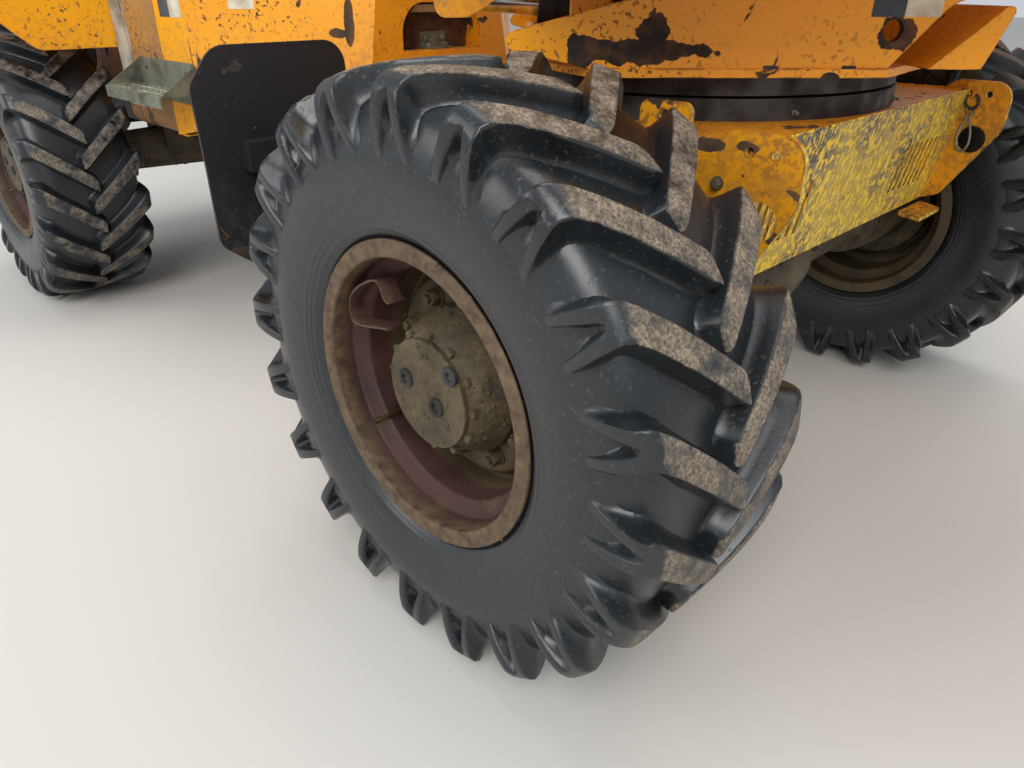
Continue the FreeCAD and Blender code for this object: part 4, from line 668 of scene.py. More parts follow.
def stuck_crumbs_tree():
    """Lumps of dried mud scattered over a surface, flat against it and each of its own size and turn."""
    tree, given = group_with("stuck_crumbs", [
        ("Surface", "NodeSocketGeometry"), ("Lump", "NodeSocketObject"),
        ("Lumps a square metre", "NodeSocketFloat"), ("Smallest", "NodeSocketFloat"),
        ("Largest", "NodeSocketFloat"), ("Seed", "NodeSocketInt"), ("Finish", "NodeSocketMaterial")])
    cloud = put(tree, "ShaderNodeTexNoise", inputs={"Scale": 11.0, "Detail": 3.0})
    patchy = put(tree, "ShaderNodeMapRange", inputs={
        "Value": cloud.outputs["Fac"], "From Min": 0.50, "From Max": 0.62,
        "To Max": given["Lumps a square metre"]})
    strewn = put(tree, "GeometryNodeDistributePointsOnFaces", inputs={
        "Mesh": given["Surface"], "Density": patchy.outputs[0], "Seed": given["Seed"]})
    share = put(tree, "FunctionNodeRandomValue", {"data_type": "FLOAT"}, {"Seed": given["Seed"]})
    uneven = put(tree, "ShaderNodeMath", {"operation": "POWER"}, {0: share.outputs[1], 1: 2.5})
    size = put(tree, "ShaderNodeMapRange", inputs={
        "Value": uneven.outputs[0], "To Min": given["Smallest"], "To Max": given["Largest"]})
    flat = put(tree, "ShaderNodeCombineXYZ", inputs={"X": size.outputs[0], "Y": size.outputs[0]})
    low = put(tree, "ShaderNodeMath", product, {0: size.outputs[0], 1: 0.38})
    tree.links.new(low.outputs[0], flat.inputs["Z"])
    spin = put(tree, "FunctionNodeRandomValue", {"data_type": "FLOAT"}, {3: math.tau, "Seed": given["Seed"]})
    about = put(tree, "ShaderNodeCombineXYZ", inputs={"Z": spin.outputs[1]})
    turned = put(tree, "FunctionNodeRotateRotation", {"rotation_space": "LOCAL"}, {
        "Rotation": strewn.outputs["Rotation"], "Rotate By": about.outputs[0]})
    lump = put(tree, "GeometryNodeObjectInfo", inputs={"Object": given["Lump"]})
    copies = put(tree, "GeometryNodeInstanceOnPoints", inputs={
        "Points": strewn.outputs["Points"], "Instance": lump.outputs["Geometry"],
        "Rotation": turned.outputs[0], "Scale": flat.outputs[0]})
    real = put(tree, "GeometryNodeRealizeInstances", inputs={"Geometry": copies.outputs[0]})
    painted = put(tree, "GeometryNodeSetMaterial", inputs={
        "Geometry": real.outputs[0], "Material": given["Finish"]})
    put(tree, "NodeGroupOutput", inputs={"Result": painted.outputs[0]})
    return tree


tyre_tree = lugged_tyre_tree()
spots_tree = parts_on_spots_tree()
crumbs_tree = stuck_crumbs_tree()


def on_spots(name, part, spots, body, finish):
    """Repeats a part's object on (place, facing, heading) spots as one piece."""
    marks = bpy.data.meshes.new(name)
    marks.from_pydata([place for place, _, _ in spots], [], [])
    for label, column in (("facing", 1), ("heading", 2)):
        layer = marks.attributes.new(label, "FLOAT_VECTOR", "POINT")
        layer.data.foreach_set("vector", [c for spot in spots for c in Vector(spot[column])])
    mesh = made_by(spots_tree, marks, {"Part": part, "Finish": finish})
    mesh.name = name
    new_piece(name, mesh, body, finish)


def landing(node, start, toward):
    """Where a ray first meets a CAD node, and the way its surface faces there."""
    found, place, facing, _ = frame["nodes"][node].ray_cast(start, Vector(toward).normalized())
    if not found:
        raise ValueError("no surface of " + node)
    return place, facing


# Tyre: places across the tread as (outwards from the middle plane, radius), in metres
lugs_a_side = 20
lug_first = math.radians(159.4)
lug_pitch = math.tau / lugs_a_side
lug_sweep = math.radians(17.0)
carcass_half = [(0.0, 0.501), (0.09, 0.501), (0.14, 0.495), (0.168, 0.476), (0.184, 0.44), (0.192, 0.395),
                (0.188, 0.35), (0.1815, 0.32), (0.173, 0.297), (0.1655, 0.2865), (0.1615, 0.284)]
bead_ribs = (0.300, 0.311, 0.322)
bead_rib_height = 1.4 * mm


def tyre_outside():
    """The carcass's outer line from one bead to the other, with fine ribs above the beads."""
    line = smooth_line([(y, r, 0) for y, r in carcass_half], 2)
    dense = []
    for a, b in zip(line, line[1:]):
        steps = max(1, round((a - b).length / 0.0028)) if 0.29 < (a.y + b.y) / 2 < 0.335 else 1
        dense += [a.lerp(b, i / steps) for i in range(steps)]
    dense.append(line[-1])
    half = []
    for point in dense:
        swell = sum(math.exp(-((point.y - rib) / (2.2 * mm)) ** 2) for rib in bead_ribs)
        half.append((point.x + swell * bead_rib_height, point.y))
    return [(-y, r) for y, r in reversed(half[1:])] + half


def carcass_form():
    form = Form()
    inside = [(0.1617, 0.2585), (0.133, 0.2585), (0.150, 0.300), (0.166, 0.39), (0.150, 0.455), (0.08, 0.463)]
    profile = tyre_outside() + inside + [(-y, r) for y, r in reversed(inside)]
    form.add_turned(profile, 140)
    return form


# One lug: at each station the carcass and the lug's top as (outwards, radius), the share of the
# sweep still to come, half the top's width, half the pocket's width and how deep the pocket is
lug_stations = [
    ((-0.031, 0.5000), (-0.025, 0.5000), 1.04, 0.0120, 0.0040, 0.0),
    ((-0.027, 0.5000), (-0.0195, 0.5100), 1.03, 0.0150, 0.0040, 0.0),
    ((-0.024, 0.5005), (-0.0165, 0.5320), 1.02, 0.0170, 0.0040, 0.0),
    ((-0.022, 0.5005), (-0.0140, 0.5385), 1.01, 0.0190, 0.0040, 0.0),
    ((-0.012, 0.5005), (-0.0080, 0.5396), 0.965, 0.0235, 0.0040, 0.0),
    ((0.000, 0.5005), (0.000, 0.5396), 0.925, 0.0252, 0.0040, 0.0),
    ((0.060, 0.5005), (0.060, 0.5396), 0.605, 0.0262, 0.0040, 0.0),
    ((0.110, 0.4985), (0.115, 0.5385), 0.325, 0.0270, 0.0040, 0.0),
    ((0.138, 0.4930), (0.155, 0.5350), 0.125, 0.0272, 0.0040, 0.0),
    ((0.152, 0.4860), (0.176, 0.5295), 0.030, 0.0275, 0.0040, 0.0),
    ((0.160, 0.4800), (0.188, 0.5210), 0.0, 0.0275, 0.0040, 0.0),
    ((0.166, 0.4740), (0.1950, 0.5105), 0.0, 0.0280, 0.0040, 0.0),
    ((0.168, 0.4725), (0.1963, 0.5080), 0.0, 0.0283, 0.0042, 0.25),
    ((0.169, 0.4710), (0.1970, 0.5055), 0.0, 0.0286, 0.0052, 0.92),
    ((0.171, 0.4670), (0.1985, 0.4980), 0.0, 0.0295, 0.0078, 1.0),
    ((0.176, 0.4580), (0.1995, 0.4820), 0.0, 0.0315, 0.0115, 1.0),
    ((0.181, 0.4480), (0.1990, 0.4640), 0.0, 0.0335, 0.0155, 1.0),
    ((0.1845, 0.4370), (0.1970, 0.4460), 0.0, 0.0352, 0.0190, 1.0),
    ((0.1865, 0.4260), (0.1940, 0.4300), 0.0, 0.0365, 0.0220, 1.0),
    ((0.1870, 0.4150), (0.1905, 0.4165), 0.0, 0.0375, 0.0240, 1.0),
    ((0.1850, 0.4040), (0.1860, 0.4050), 0.0, 0.0375, 0.0240, 0.6),
]
# Across the lug: offset outwards from the edge of its top, and the height there
flank_across = [(0.0185, -0.08), (0.0115, 0.03), (0.0070, 0.16), (0.0040, 0.45), (0.0018, 0.84),
                (0.0004, 0.975), (-0.0018, 1.0)]
pocket_floor = 0.12
# Sand lies on a lug's top from this radius on, fully after the rise, and thinner on the rear pair
sand_from = 0.512
sand_rise = 0.02
rear_sand = 0.93


def lug_row(station, side, outer_angle):
    """Points across the lug at one station, from its rear toe to its front toe."""
    base, top, sweep, half, pocket, depth = station
    drop = (1.0 - pocket_floor) * depth
    inner = [(half - 0.006, 1.0), (pocket + 0.0026, 1.0), (pocket + 0.0010, 1.0 - 0.06 * drop),
             (pocket, 1.0 - 0.35 * drop), (pocket - 0.0008, 1.0 - 0.85 * drop), (pocket * 0.62, 1.0 - drop)]
    half_row = [(half + out, up) for out, up in flank_across] + inner
    row = half_row + [(0.0, 1.0 - drop)] + [(-u, k) for u, k in reversed(half_row)]
    points = []
    for u, k in row:
        outwards = base[0] + (top[0] - base[0]) * k
        radius = base[1] + (top[1] - base[1]) * k
        angle = outer_angle - sweep * lug_sweep + u / radius
        points.append(Vector((radius * math.cos(angle), side * outwards, radius * math.sin(angle))))
    return points, [k for _, k in row]


def between(a, b, share):
    """Blend of two stations."""
    pair = [tuple(x + (y - x) * share for x, y in zip(p, q)) for p, q in zip(a[:2], b[:2])]
    return (*pair, *(x + (y - x) * share for x, y in zip(a[2:], b[2:])))


def lug_mesh(side, outer_angle):
    """One moulded lug of a side, with its sand attribute high on its top."""
    rows = []
    sand = []
    for a, b in zip(lug_stations, lug_stations[1:]):
        steps = 1 if a[2] > 0.95 or 0.50 < a[1][1] < 0.512 else 2
        for i in range(steps):
            station = between(a, b, i / steps)
            points, heights = lug_row(station, side, outer_angle)
            rows.append(points)
            worn = min(1.0, max(0.0, (station[1][1] - sand_from) / sand_rise))
            sand += [max(0.0, k) ** 2 * worn for k in heights]
    form = Form()
    form.add_grid(rows)
    across = len(rows[0])
    last = len(form.points)
    form.faces += [(i, i + across, i + 2 * across - 1, i + across - 1)
                   for i in range(0, last - across, across)]
    form.close_ends(across)
    made = bpy.data.meshes.new("lug")
    made.from_pydata(form.points, [], form.faces)
    layer = made.attributes.new("sand", "FLOAT", "POINT")
    layer.data.foreach_set("value", sand)
    work = bmesh.new()
    work.from_mesh(made)
    bmesh.ops.recalc_face_normals(work, faces=work.faces)
    work.to_mesh(made)
    work.free()
    shade_smooth(made)
    made.set_sharp_from_angle(angle=math.radians(48))
    return made


def wheel_centre(name):
    low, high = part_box("tyre_" + name)
    return (low + high) / 2


def detailed_tyres():
    """Four tyres of one mould, the rear pair with less sand on their lugs."""
    carcass = carcass_form().mesh("carcass", crease=60)
    carcass.attributes.new("sand", "FLOAT", "POINT")
    right = hidden_form("right_lug", lug_mesh(-1, lug_first))
    left = hidden_form("left_lug", lug_mesh(1, lug_first + lug_pitch / 2))
    moulded = made_by(tyre_tree, carcass, {"Right lug": right, "Left lug": left,
                                           "Lugs a side": lugs_a_side, "Finish": tyre_rubber})
    for name in ("fl", "fr", "rl", "rr"):
        mesh = moulded.copy()
        mesh.transform(Matrix.Translation(wheel_centre(name)))
        if name[0] == "r":
            worn = mesh.attributes["sand"].data
            values = [0.0] * len(worn)
            worn.foreach_get("value", values)
            worn.foreach_set("value", [rear_sand * v for v in values])
        new_piece("lugged_tyre_" + name, mesh, "wheel_" + name, tyre_rubber,
                  ["tyre_" + name])


def wheel_side(name):
    return 1 if name[1] == "l" else -1


def hex_head(across_flats, height, washer, washer_height, stud=0.0):
    """A hexagon head or nut on its washer, standing along Z from its seat, its stud's end proud."""
    form = Form()
    if washer:
        form.add_prism([(x, y, -0.0005) for x, y in round_section(washer, 20)],
                       (0, 0, washer_height + 0.0005))
    corner = across_flats / math.sqrt(3)
    rows = []
    for scale, z in ((1.0, washer_height - 0.0002), (1.0, washer_height + height * 0.82),
                     (0.87, washer_height + height)):
        rows.append([(x, y, z) for x, y in round_section(corner * scale, 6)])
    form.add_grid(rows, round_way=True)
    last = len(form.points)
    form.faces += [tuple(range(last - 6, last)), tuple(range(last - 13, last - 19, -1))]
    if stud:
        form.add_prism([(x, y, washer_height + height - 0.001)
                        for x, y in round_section(across_flats * 0.31, 14)], (0, 0, stud))
    return form


def lent(name, form, bevel=0.0):
    return hidden_form(name, form.mesh(name, bevel))


def turned_z(profile, steps):
    """A closed solid turned about Z from (radius, height) points that start and end on the axis."""
    form = Form()
    rows = []
    for i in range(steps):
        angle = math.tau * i / steps
        rows.append([(r * math.cos(angle), r * math.sin(angle), z) for r, z in profile])
    rows.append(rows[0])
    form.add_grid(rows)
    return form


wheel_nut = lent("wheel_nut", hex_head(0.027, 0.019, 0.019, 0.004, 0.010))
cap_screw = lent("cap_screw", hex_head(0.015, 0.008, 0.0, 0.0))
small_bolt = lent("small_bolt", hex_head(0.018, 0.009, 0.0125, 0.002, 0.002))
frame_bolt = lent("frame_bolt", hex_head(0.024, 0.013, 0.017, 0.003, 0.006))
coach_bolt = lent("coach_bolt", turned_z([(0, -0.001), (0.013, -0.001), (0.0125, 0.002), (0.009, 0.0045),
                                          (0.004, 0.006), (0, 0.0062)], 16))
oil_plug = lent("oil_plug", turned_z([(0, -0.002), (0.0175, -0.002), (0.0175, 0.004), (0.016, 0.0055),
                                      (0.009, 0.0055), (0.0082, 0.0), (0, 0.0)], 24))
grease_nipple = lent("grease_nipple", turned_z([(0, -0.001), (0.006, -0.001), (0.006, 0.005), (0.0032, 0.006),
                                                (0.0028, 0.010), (0.0042, 0.0125), (0.0036, 0.015),
                                                (0, 0.0165)], 12))


def ring_spots(centre, axis, radius, count, start=0.0, outward=False):
    """Spots round an axis, counted from straight ahead, facing along it or outwards from it."""
    axis, first = Vector(axis).normalized(), Vector((1, 0, 0))
    other = axis.cross(first)
    spots = []
    for i in range(count):
        angle = start + math.tau * i / count
        out = first * math.cos(angle) + other * math.sin(angle)
        spots.append((centre + out * radius, out if outward else axis, axis if outward else out))
    return spots


# Wheel: seats outwards from its middle plane, and the circles of its nuts and cap screws
disc_seat = 0.0395
cap_seat = 0.1225
plug_seat = 0.1398
nut_circle = 0.157
cap_circle = 0.1085


def wheel_hardware():
    """Studs and nuts on the disc, screws and plugs on the hub's cap, and the tube's valve."""
    for name in ("fl", "fr", "rl", "rr"):
        centre, side, body = wheel_centre(name), wheel_side(name), "wheel_" + name
        out = Vector((0, side, 0))
        nuts = ring_spots(centre + out * disc_seat, out, nut_circle, 10, start=0.2)
        on_spots("wheel_nuts_" + name, wheel_nut, nuts, body, hub_mud)
        screws = ring_spots(centre + out * cap_seat, out, cap_circle, 12)
        on_spots("hub_screws_" + name, cap_screw, screws, body, hub_mud)
        plugs = [(centre + out * plug_seat + Vector((x, 0, z)), out, Vector((1, 0, 0)))
                 for x, z in ((0.029, -0.013), (-0.053, 0.015), (0.070, 0.062))]
        on_spots("hub_plugs_" + name, oil_plug, plugs, body, cast_iron)
        valve = Form()
        toward = Vector((-0.80, 0, -0.60))
        path = smooth_line([centre + out * y + toward * r for y, r in (
            (0.070, 0.223), (0.085, 0.209), (0.110, 0.205), (0.128, 0.212))], 2)
        valve.add_swept(path, round_section(0.0042))
        ahead = (path[-1] - path[-2]).normalized()
        valve.add_bar(path[-1] - ahead * 0.002, path[-1] + ahead * 0.013, 0.0058, 14)
        new_piece("valve_stem_" + name, valve.mesh("valve_stem"), body, brass)


def bent_strap():
    """The bent steel strap that hangs in the near front rim."""
    centre = wheel_centre("fr")
    line = smooth_line([centre + Vector((x, -0.148, z)) for x, z in (
        (-0.092, 0.096), (-0.150, 0.086), (-0.205, 0.080), (-0.2165, 0.108), (-0.178, 0.152), (-0.128, 0.183),
        (-0.098, 0.176), (-0.082, 0.148))], 3)
    across = Vector((0, 0.036, 0))
    form = Form()
    rows = []
    for i, point in enumerate(line):
        ahead = (line[min(i + 1, len(line) - 1)] - line[max(i - 1, 0)]).normalized()
        out = across.normalized().cross(ahead) * 0.0018
        wave = Vector((0, 0.004 * math.sin(i * 0.31), 0))
        rows.append([point + wave + out, point + wave + across + out, point + wave + across - out,
                     point + wave - out])
    form.add_grid(rows, round_way=True)
    form.close_ends(4)
    new_piece("bent_strap", form.mesh("bent_strap", crease=50), "wheel_fr", rim_rust)


def thin_plate(name, corners, push, body, finish, bevel=0.0):
    form = Form()
    form.add_prism(corners, push)
    new_piece(name, form.mesh(name, bevel), body, finish)


chassis_half = abs(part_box("front_frame")[0].y - origin.y)
body_half = abs(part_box("side_panels")[0].y - origin.y)


def chassis_hardware():
    """Bolts, a tab, the hitch clip with its ring and the slew ring's nipples on the front chassis."""
    bolts = [(at(x, side * chassis_half, z), Vector((0, side, 0)), Vector((1, 0, 0)))
             for side in (-1, 1) for x, z in ((0.186, 0.855), (0.236, 0.868), (-0.18, 0.875), (-0.40, 0.875))]
    on_spots("chassis_bolts", small_bolt, bolts, "front_chassis", axle_mud)
    ring_centre = Vector((slew_axis.x, slew_axis.y, origin.z + 0.950))
    nipples = ring_spots(ring_centre, (0, 0, 1), 0.4695, 8, start=0.24, outward=True)
    on_spots("slew_ring_nipples", grease_nipple, nipples, "front_chassis", galvanised)
    under = [(0.238, 0.640), (0.292, 0.630), (0.292, 0.618), (0.236, 0.626)]
    thin_plate("under_plate_tab", [at(x, 0.40, z) for x, z in under], (0, 0.15, 0), "front_chassis",
               chassis_enamel, 0.8 * mm)
    clip_ahead = 0.026
    clip = Form()
    loop = [(0.268, 0.905), (0.276, 0.880), (0.262, 0.850), (0.262, 0.815), (0.280, 0.792), (0.296, 0.812),
            (0.292, 0.850), (0.279, 0.880), (0.287, 0.902)]
    clip.add_swept(smooth_line([at(x + clip_ahead, 0.543, z - 0.012) for x, z in loop], 3),
                   round_section(0.0028))
    new_piece("hitch_clip", clip.mesh("hitch_clip"), "front_chassis", galvanised)
    ring = Form()
    ring.add_swept(smooth_line([at(x + clip_ahead, 0.5455, z - 0.010) for x, z in (
        (0.262, 0.936), (0.258, 0.915), (0.272, 0.900), (0.290, 0.905), (0.292, 0.925), (0.280, 0.936))], 3),
        round_section(0.0040))
    new_piece("hitch_clip_ring", ring.mesh("hitch_clip_ring"), "front_chassis", cast_iron)


def guard_hardware():
    """Coach bolts through each front mudguard and its arm."""
    spots = []
    for side in (-1, 1):
        for y, z in ((0.800, 0.873), (0.800, 0.847), (0.985, 0.873), (0.985, 0.847)):
            spots.append((at(-0.6158, side * y, z), Vector((1, 0, 0)), Vector((0, 1, 0))))
    on_spots("mudguard_bolts", coach_bolt, spots, "front_chassis", galvanised)


# Labels on a cheek stand in its face by 0.2 mm
cheek_label_seat = 0.5078
# Where the arch's recess ends behind the cowl's front
recess_back = -1.170 - 0.0595


def blank_labels():
    """Labels of cheeks, cowl and body without their lettering, and the cheeks' foot slots as dark plates of
    painted shade.
    """
    for side in (-1, 1):
        y = side * cheek_label_seat
        out = slewed(0, side, 0) - slewed(0, 0, 0)
        for x0, x1, z0, z1, finish in ((0.204, 0.264, 1.122, 1.152, label_dark),
                                       (0.2645, 0.330, 1.122, 1.152, label_face),
                                       # Painted shade: these last two are dark plates for the shade inside
                                       # the cheeks' foot slots
                                       (0.022, 0.048, 1.0325, 1.0405, cast_iron),
                                       (0.169, 0.195, 1.0325, 1.0405, cast_iron)):
            flat = [slewed(x, y, z) for x, z in ((x0, z0), (x1, z0), (x1, z1), (x0, z1))]
            thin_plate("cheek_label", flat, out * 0.0008, "swivel", finish)
        slant = [landing("front_cowl", at(x, side * 1.2, z), (-0.5, -side, 0)) for x, z in (
            (-1.08, 1.112), (-1.16, 1.112), (-1.16, 1.150), (-1.08, 1.150))]
        thin_plate("cowl_label", [place for place, _ in slant], slant[0][1] * 0.0009, "rear_chassis",
                   label_face)
        y = side * body_half
        for x0, x1, z0, finish in ((-1.735, -1.660, 1.088, label_dark), (-1.6595, -1.575, 1.088, label_face)):
            flat = [at(x, y, z) for x, z in ((x0, z0), (x1, z0), (x1, z0 + 0.055), (x0, z0 + 0.055))]
            thin_plate("body_label", flat, (0, side * 0.0008, 0), "rear_chassis", finish)


def rear_body_trim():
    """Pale strips with their beads on the body's sides, and the arch's blank label and bracket."""
    for side, label in ((-1, "near"), (1, "far")):
        y = side * body_half
        strip = [(-2.172, 0.79), (-2.060, 0.79), (-2.075, 1.14), (-2.172, 1.14)]
        thin_plate("pale_strip_" + label, [at(x, y - side * 0.0005, z) for x, z in strip],
                   (0, side * 0.0022, 0), "rear_chassis", pale_sheet, 0.6 * mm)
        bead = Form()
        bead.add_swept([at(-2.052, y, z) for z in (0.78, 0.9, 1.0, 1.14)], round_section(0.004, 8))
        new_piece("strip_bead_" + label, bead.mesh("strip_bead"), "rear_chassis", pale_sheet)
    white = [(-0.085, 1.098), (0.085, 1.098), (0.060, 1.120), (-0.060, 1.120)]
    thin_plate("arch_label", [at(recess_back, y, z) for y, z in white], (0.0008, 0, 0), "rear_chassis",
               label_face)
    angle = [(0, 0.9905), (0.045, 0.9905), (0.045, 0.996), (0.006, 0.996), (0.006, 1.040), (0, 1.040)]
    thin_plate("arch_bracket", [at(recess_back + x, -0.055, z) for x, z in angle], (0, 0.110, 0),
               "rear_chassis", galvanised, 0.8 * mm)
    across = Vector((0, 1, 0))
    spots = [(at(recess_back + 0.006, y, 1.020), Vector((1, 0, 0)), across) for y in (-0.036, 0.036)]
    spots += [(at(recess_back + 0.026, y, 0.996), Vector((0, 0, 1)), across) for y in (-0.034, 0.034)]
    on_spots("arch_bolts", small_bolt, spots, "rear_chassis", galvanised)


# Side step: its rear end, the pitch of its holes, how far it reaches out and its top
step_rear = -2.0
step_pitch = 0.046
step_reach = 0.13
step_top = 0.875


def step_grip():
    """Raised toothed collars round the holes of each step, nine to a row in two rows."""
    collar = Form()
    profile = [(0.0142, -0.0005), (0.0190, -0.0005), (0.0162, 0.0045), (0.0148, 0.0045)]
    rows = []
    for i in range(24):
        angle = math.tau * i / 24
        tooth = 1.0 if i % 4 < 2 else 0.45
        rows.append([(r * math.cos(angle), r * math.sin(angle), z if z < 0 else z * tooth)
                     for r, z in profile])
    rows.append(rows[0])
    collar.add_grid(rows, round_way=True)
    spots = []
    for side in (-1, 1):
        for i in range(9):
            for share in (0.33, 0.7):
                place = at(step_rear + (i + 1) * step_pitch,
                           side * (body_half + 0.0003 + share * step_reach), step_top)
                spots.append((place, Vector((0, 0, 1)), Vector((1, 0, 0))))
    on_spots("step_grip_collars", lent("grip_collar", collar), spots, "rear_chassis", galvanised)


def weld_bead(name, start, end, radius, body, finish):
    """A hand-laid fillet weld: a bead whose ripples come every few millimetres."""
    start, end = Vector(start), Vector(end)
    count = max(8, int((end - start).length / 0.004))
    form = Form()
    rows = []
    ahead = (end - start).normalized()
    up = ahead.orthogonal().normalized()
    across = ahead.cross(up)
    for i in range(count + 1):
        swell = radius * (1.0 + 0.16 * math.sin(i * 1.7) + 0.12 * math.sin(i * 0.63))
        swell *= 0.35 if i in (0, count) else 1.0
        middle = start.lerp(end, i / count)
        rows.append([middle + up * swell * math.cos(a) + across * swell * math.sin(a)
                     for a in (math.tau * k / 8 for k in range(8))])
    form.add_grid(rows, round_way=True)
    form.close_ends(8)
    new_piece(name, form.mesh(name, crease=60), body, finish)


def chassis_welds():
    """Fillet welds of the front plate, the chassis's top edges and the feet of the swivel's cheeks."""
    edge = chassis_half - 0.012
    cheek_inside = cheek_half - 0.018
    for side, label in ((-1, "near"), (1, "far")):
        weld_bead("plate_weld_" + label, at(0.2885, side * edge, 0.932), at(0.2375, side * edge, 0.654),
                  0.0045, "front_chassis", chassis_enamel)
        weld_bead("top_weld_" + label, at(0.270, side * edge, 0.935), at(-0.630, side * edge, 0.935),
                  0.0042, "front_chassis", chassis_enamel)
        inner = side * cheek_inside
        weld_bead("cheek_weld_" + label, slewed(-0.290, inner, 1.036), slewed(0.245, inner, 1.036),
                  0.0042, "swivel", cheek_enamel)
    weld_bead("plate_top_weld", at(0.287, -edge, 0.9355), at(0.287, edge, 0.9355), 0.0035,
              "front_chassis", chassis_enamel)


def axle_hardware():
    """Screws round each axle's differential cover and end flanges."""
    cover_seat, cover_circle = 0.231, 0.101
    flange_inset, flange_circle = 0.313, 0.098
    for body, x, label in (("front_chassis", 0.0, "front"), ("rear_chassis", -wheel_base, "rear")):
        middle = at(x, 0, tyre_radius)
        spots = []
        for side in (-1, 1):
            out = Vector((0, side, 0))
            spots += ring_spots(middle + out * cover_seat, out, cover_circle, 10)
            spots += ring_spots(middle + out * (half_track - flange_inset), -out, flange_circle, 10)
        on_spots("axle_screws_" + label, cap_screw, spots, body, axle_mud)


# Seat pads: half their width, the most that they swell, the frames of the cloth step, what they keep
# clear of their CAD box, and how far the seams' middles stand off them
pad_half = 0.222
pad_swell = 0.022
cloth_frames = 20
box_gap = 0.0005
seam_lift = 0.0006


def seat_form(points, corner):
    """A pad's closed shape: its side outline with rounded ends across the width."""
    form = Form()
    rows = []
    stations = 24
    middle = Vector((sum(p[0] for p in points) / len(points), 0, sum(p[1] for p in points) / len(points)))
    for i in range(stations + 1):
        share = -math.cos(math.pi * i / stations)
        y = pad_half * share
        inset = corner * max(0.0, (abs(y) - (pad_half - corner)) / corner) ** 2
        row = []
        for x, z in points:
            toward = Vector((middle.x - x, 0, middle.z - z))
            row.append(at(x, y, z) + toward.normalized() * inset)
        rows.append(row)
    form.add_grid(rows, round_way=True)
    form.close_ends(len(points))
    return form


def loop_rounded(points, rounds=3):
    """A closed outline with its corners cut round."""
    loop = [Vector((p[0], p[1])) for p in points]
    for _ in range(rounds):
        cut = []
        for a, b in zip(loop, loop[1:] + loop[:1]):
            cut += [a.lerp(b, 0.22), a.lerp(b, 0.78)]
        loop = cut
    return [(p.x, p.y) for p in loop]


def inflated(name, start, low, high):
    """The pad's mesh after a short inflation in the cloth solver, capped and kept in its CAD space."""
    remade = bpy.data.objects.new(name, start)
    bpy.context.scene.collection.objects.link(remade)
    grid = remade.modifiers.new("voxels", "REMESH")
    grid.mode = "VOXEL"
    grid.voxel_size = 0.006
    smooth = bpy.data.meshes.new_from_object(remade.evaluated_get(bpy.context.evaluated_depsgraph_get()))
    remade.modifiers.clear()
    remade.data = smooth
    before = [v.co.copy() for v in smooth.vertices]
    after = before
    cloth = remade.modifiers.new("cloth", "CLOTH")
    cloth.settings.use_pressure = True
    cloth.settings.uniform_pressure_force = 4.0
    cloth.settings.quality = 5
    cloth.settings.effector_weights.gravity = 0.0
    scene = bpy.context.scene
    for step in range(1, cloth_frames + 1):
        scene.frame_set(step)
    pressed = bpy.data.meshes.new_from_object(
        remade.evaluated_get(bpy.context.evaluated_depsgraph_get()))
    after = [v.co.copy() for v in pressed.vertices]
    remade.modifiers.clear()
    scene.frame_set(1)
    for vertex, old, new in zip(smooth.vertices, before, after):
        move = new - old
        if move.length > pad_swell:
            move = move.normalized() * pad_swell
        spot = old + move
        vertex.co = [min(max(spot[i], low[i] + box_gap), high[i] - box_gap) for i in range(3)]
    finer = remade.modifiers.new("finer", "SUBSURF")
    finer.levels = finer.render_levels = 1
    final = bpy.data.meshes.new_from_object(remade.evaluated_get(bpy.context.evaluated_depsgraph_get()))
    bpy.data.objects.remove(remade)
    shade_smooth(final)
    return final


def piped_seam(name, pad, loop, toward):
    """A sewn, piped seam laid on a pad along a loop of places."""
    path = []
    count = len(loop)
    for i in range(count):
        for step in range(8):
            start = loop[i].lerp(loop[(i + 1) % count], step / 8)
            found, place, facing, _ = pad.ray_cast(start, Vector(toward))
            if found:
                path.append(place + facing * seam_lift)
    path.append(path[0])
    form = Form()
    form.add_swept(path, round_section(0.0026, 8))
    new_piece(name, form.mesh(name, crease=80), "rear_chassis", vinyl)


def rounded_loop(low_a, high_a, low_b, high_b, corner):
    """Points of a rectangle with rounded corners."""
    points = []
    for a, b, first in ((high_a - corner, high_b - corner, 0), (low_a + corner, high_b - corner, 90),
                        (low_a + corner, low_b + corner, 180), (high_a - corner, low_b + corner, 270)):
        for k in range(5):
            turn = math.radians(first + k * 22.5)
            points.append((a + corner * math.cos(turn), b + corner * math.sin(turn)))
    return points


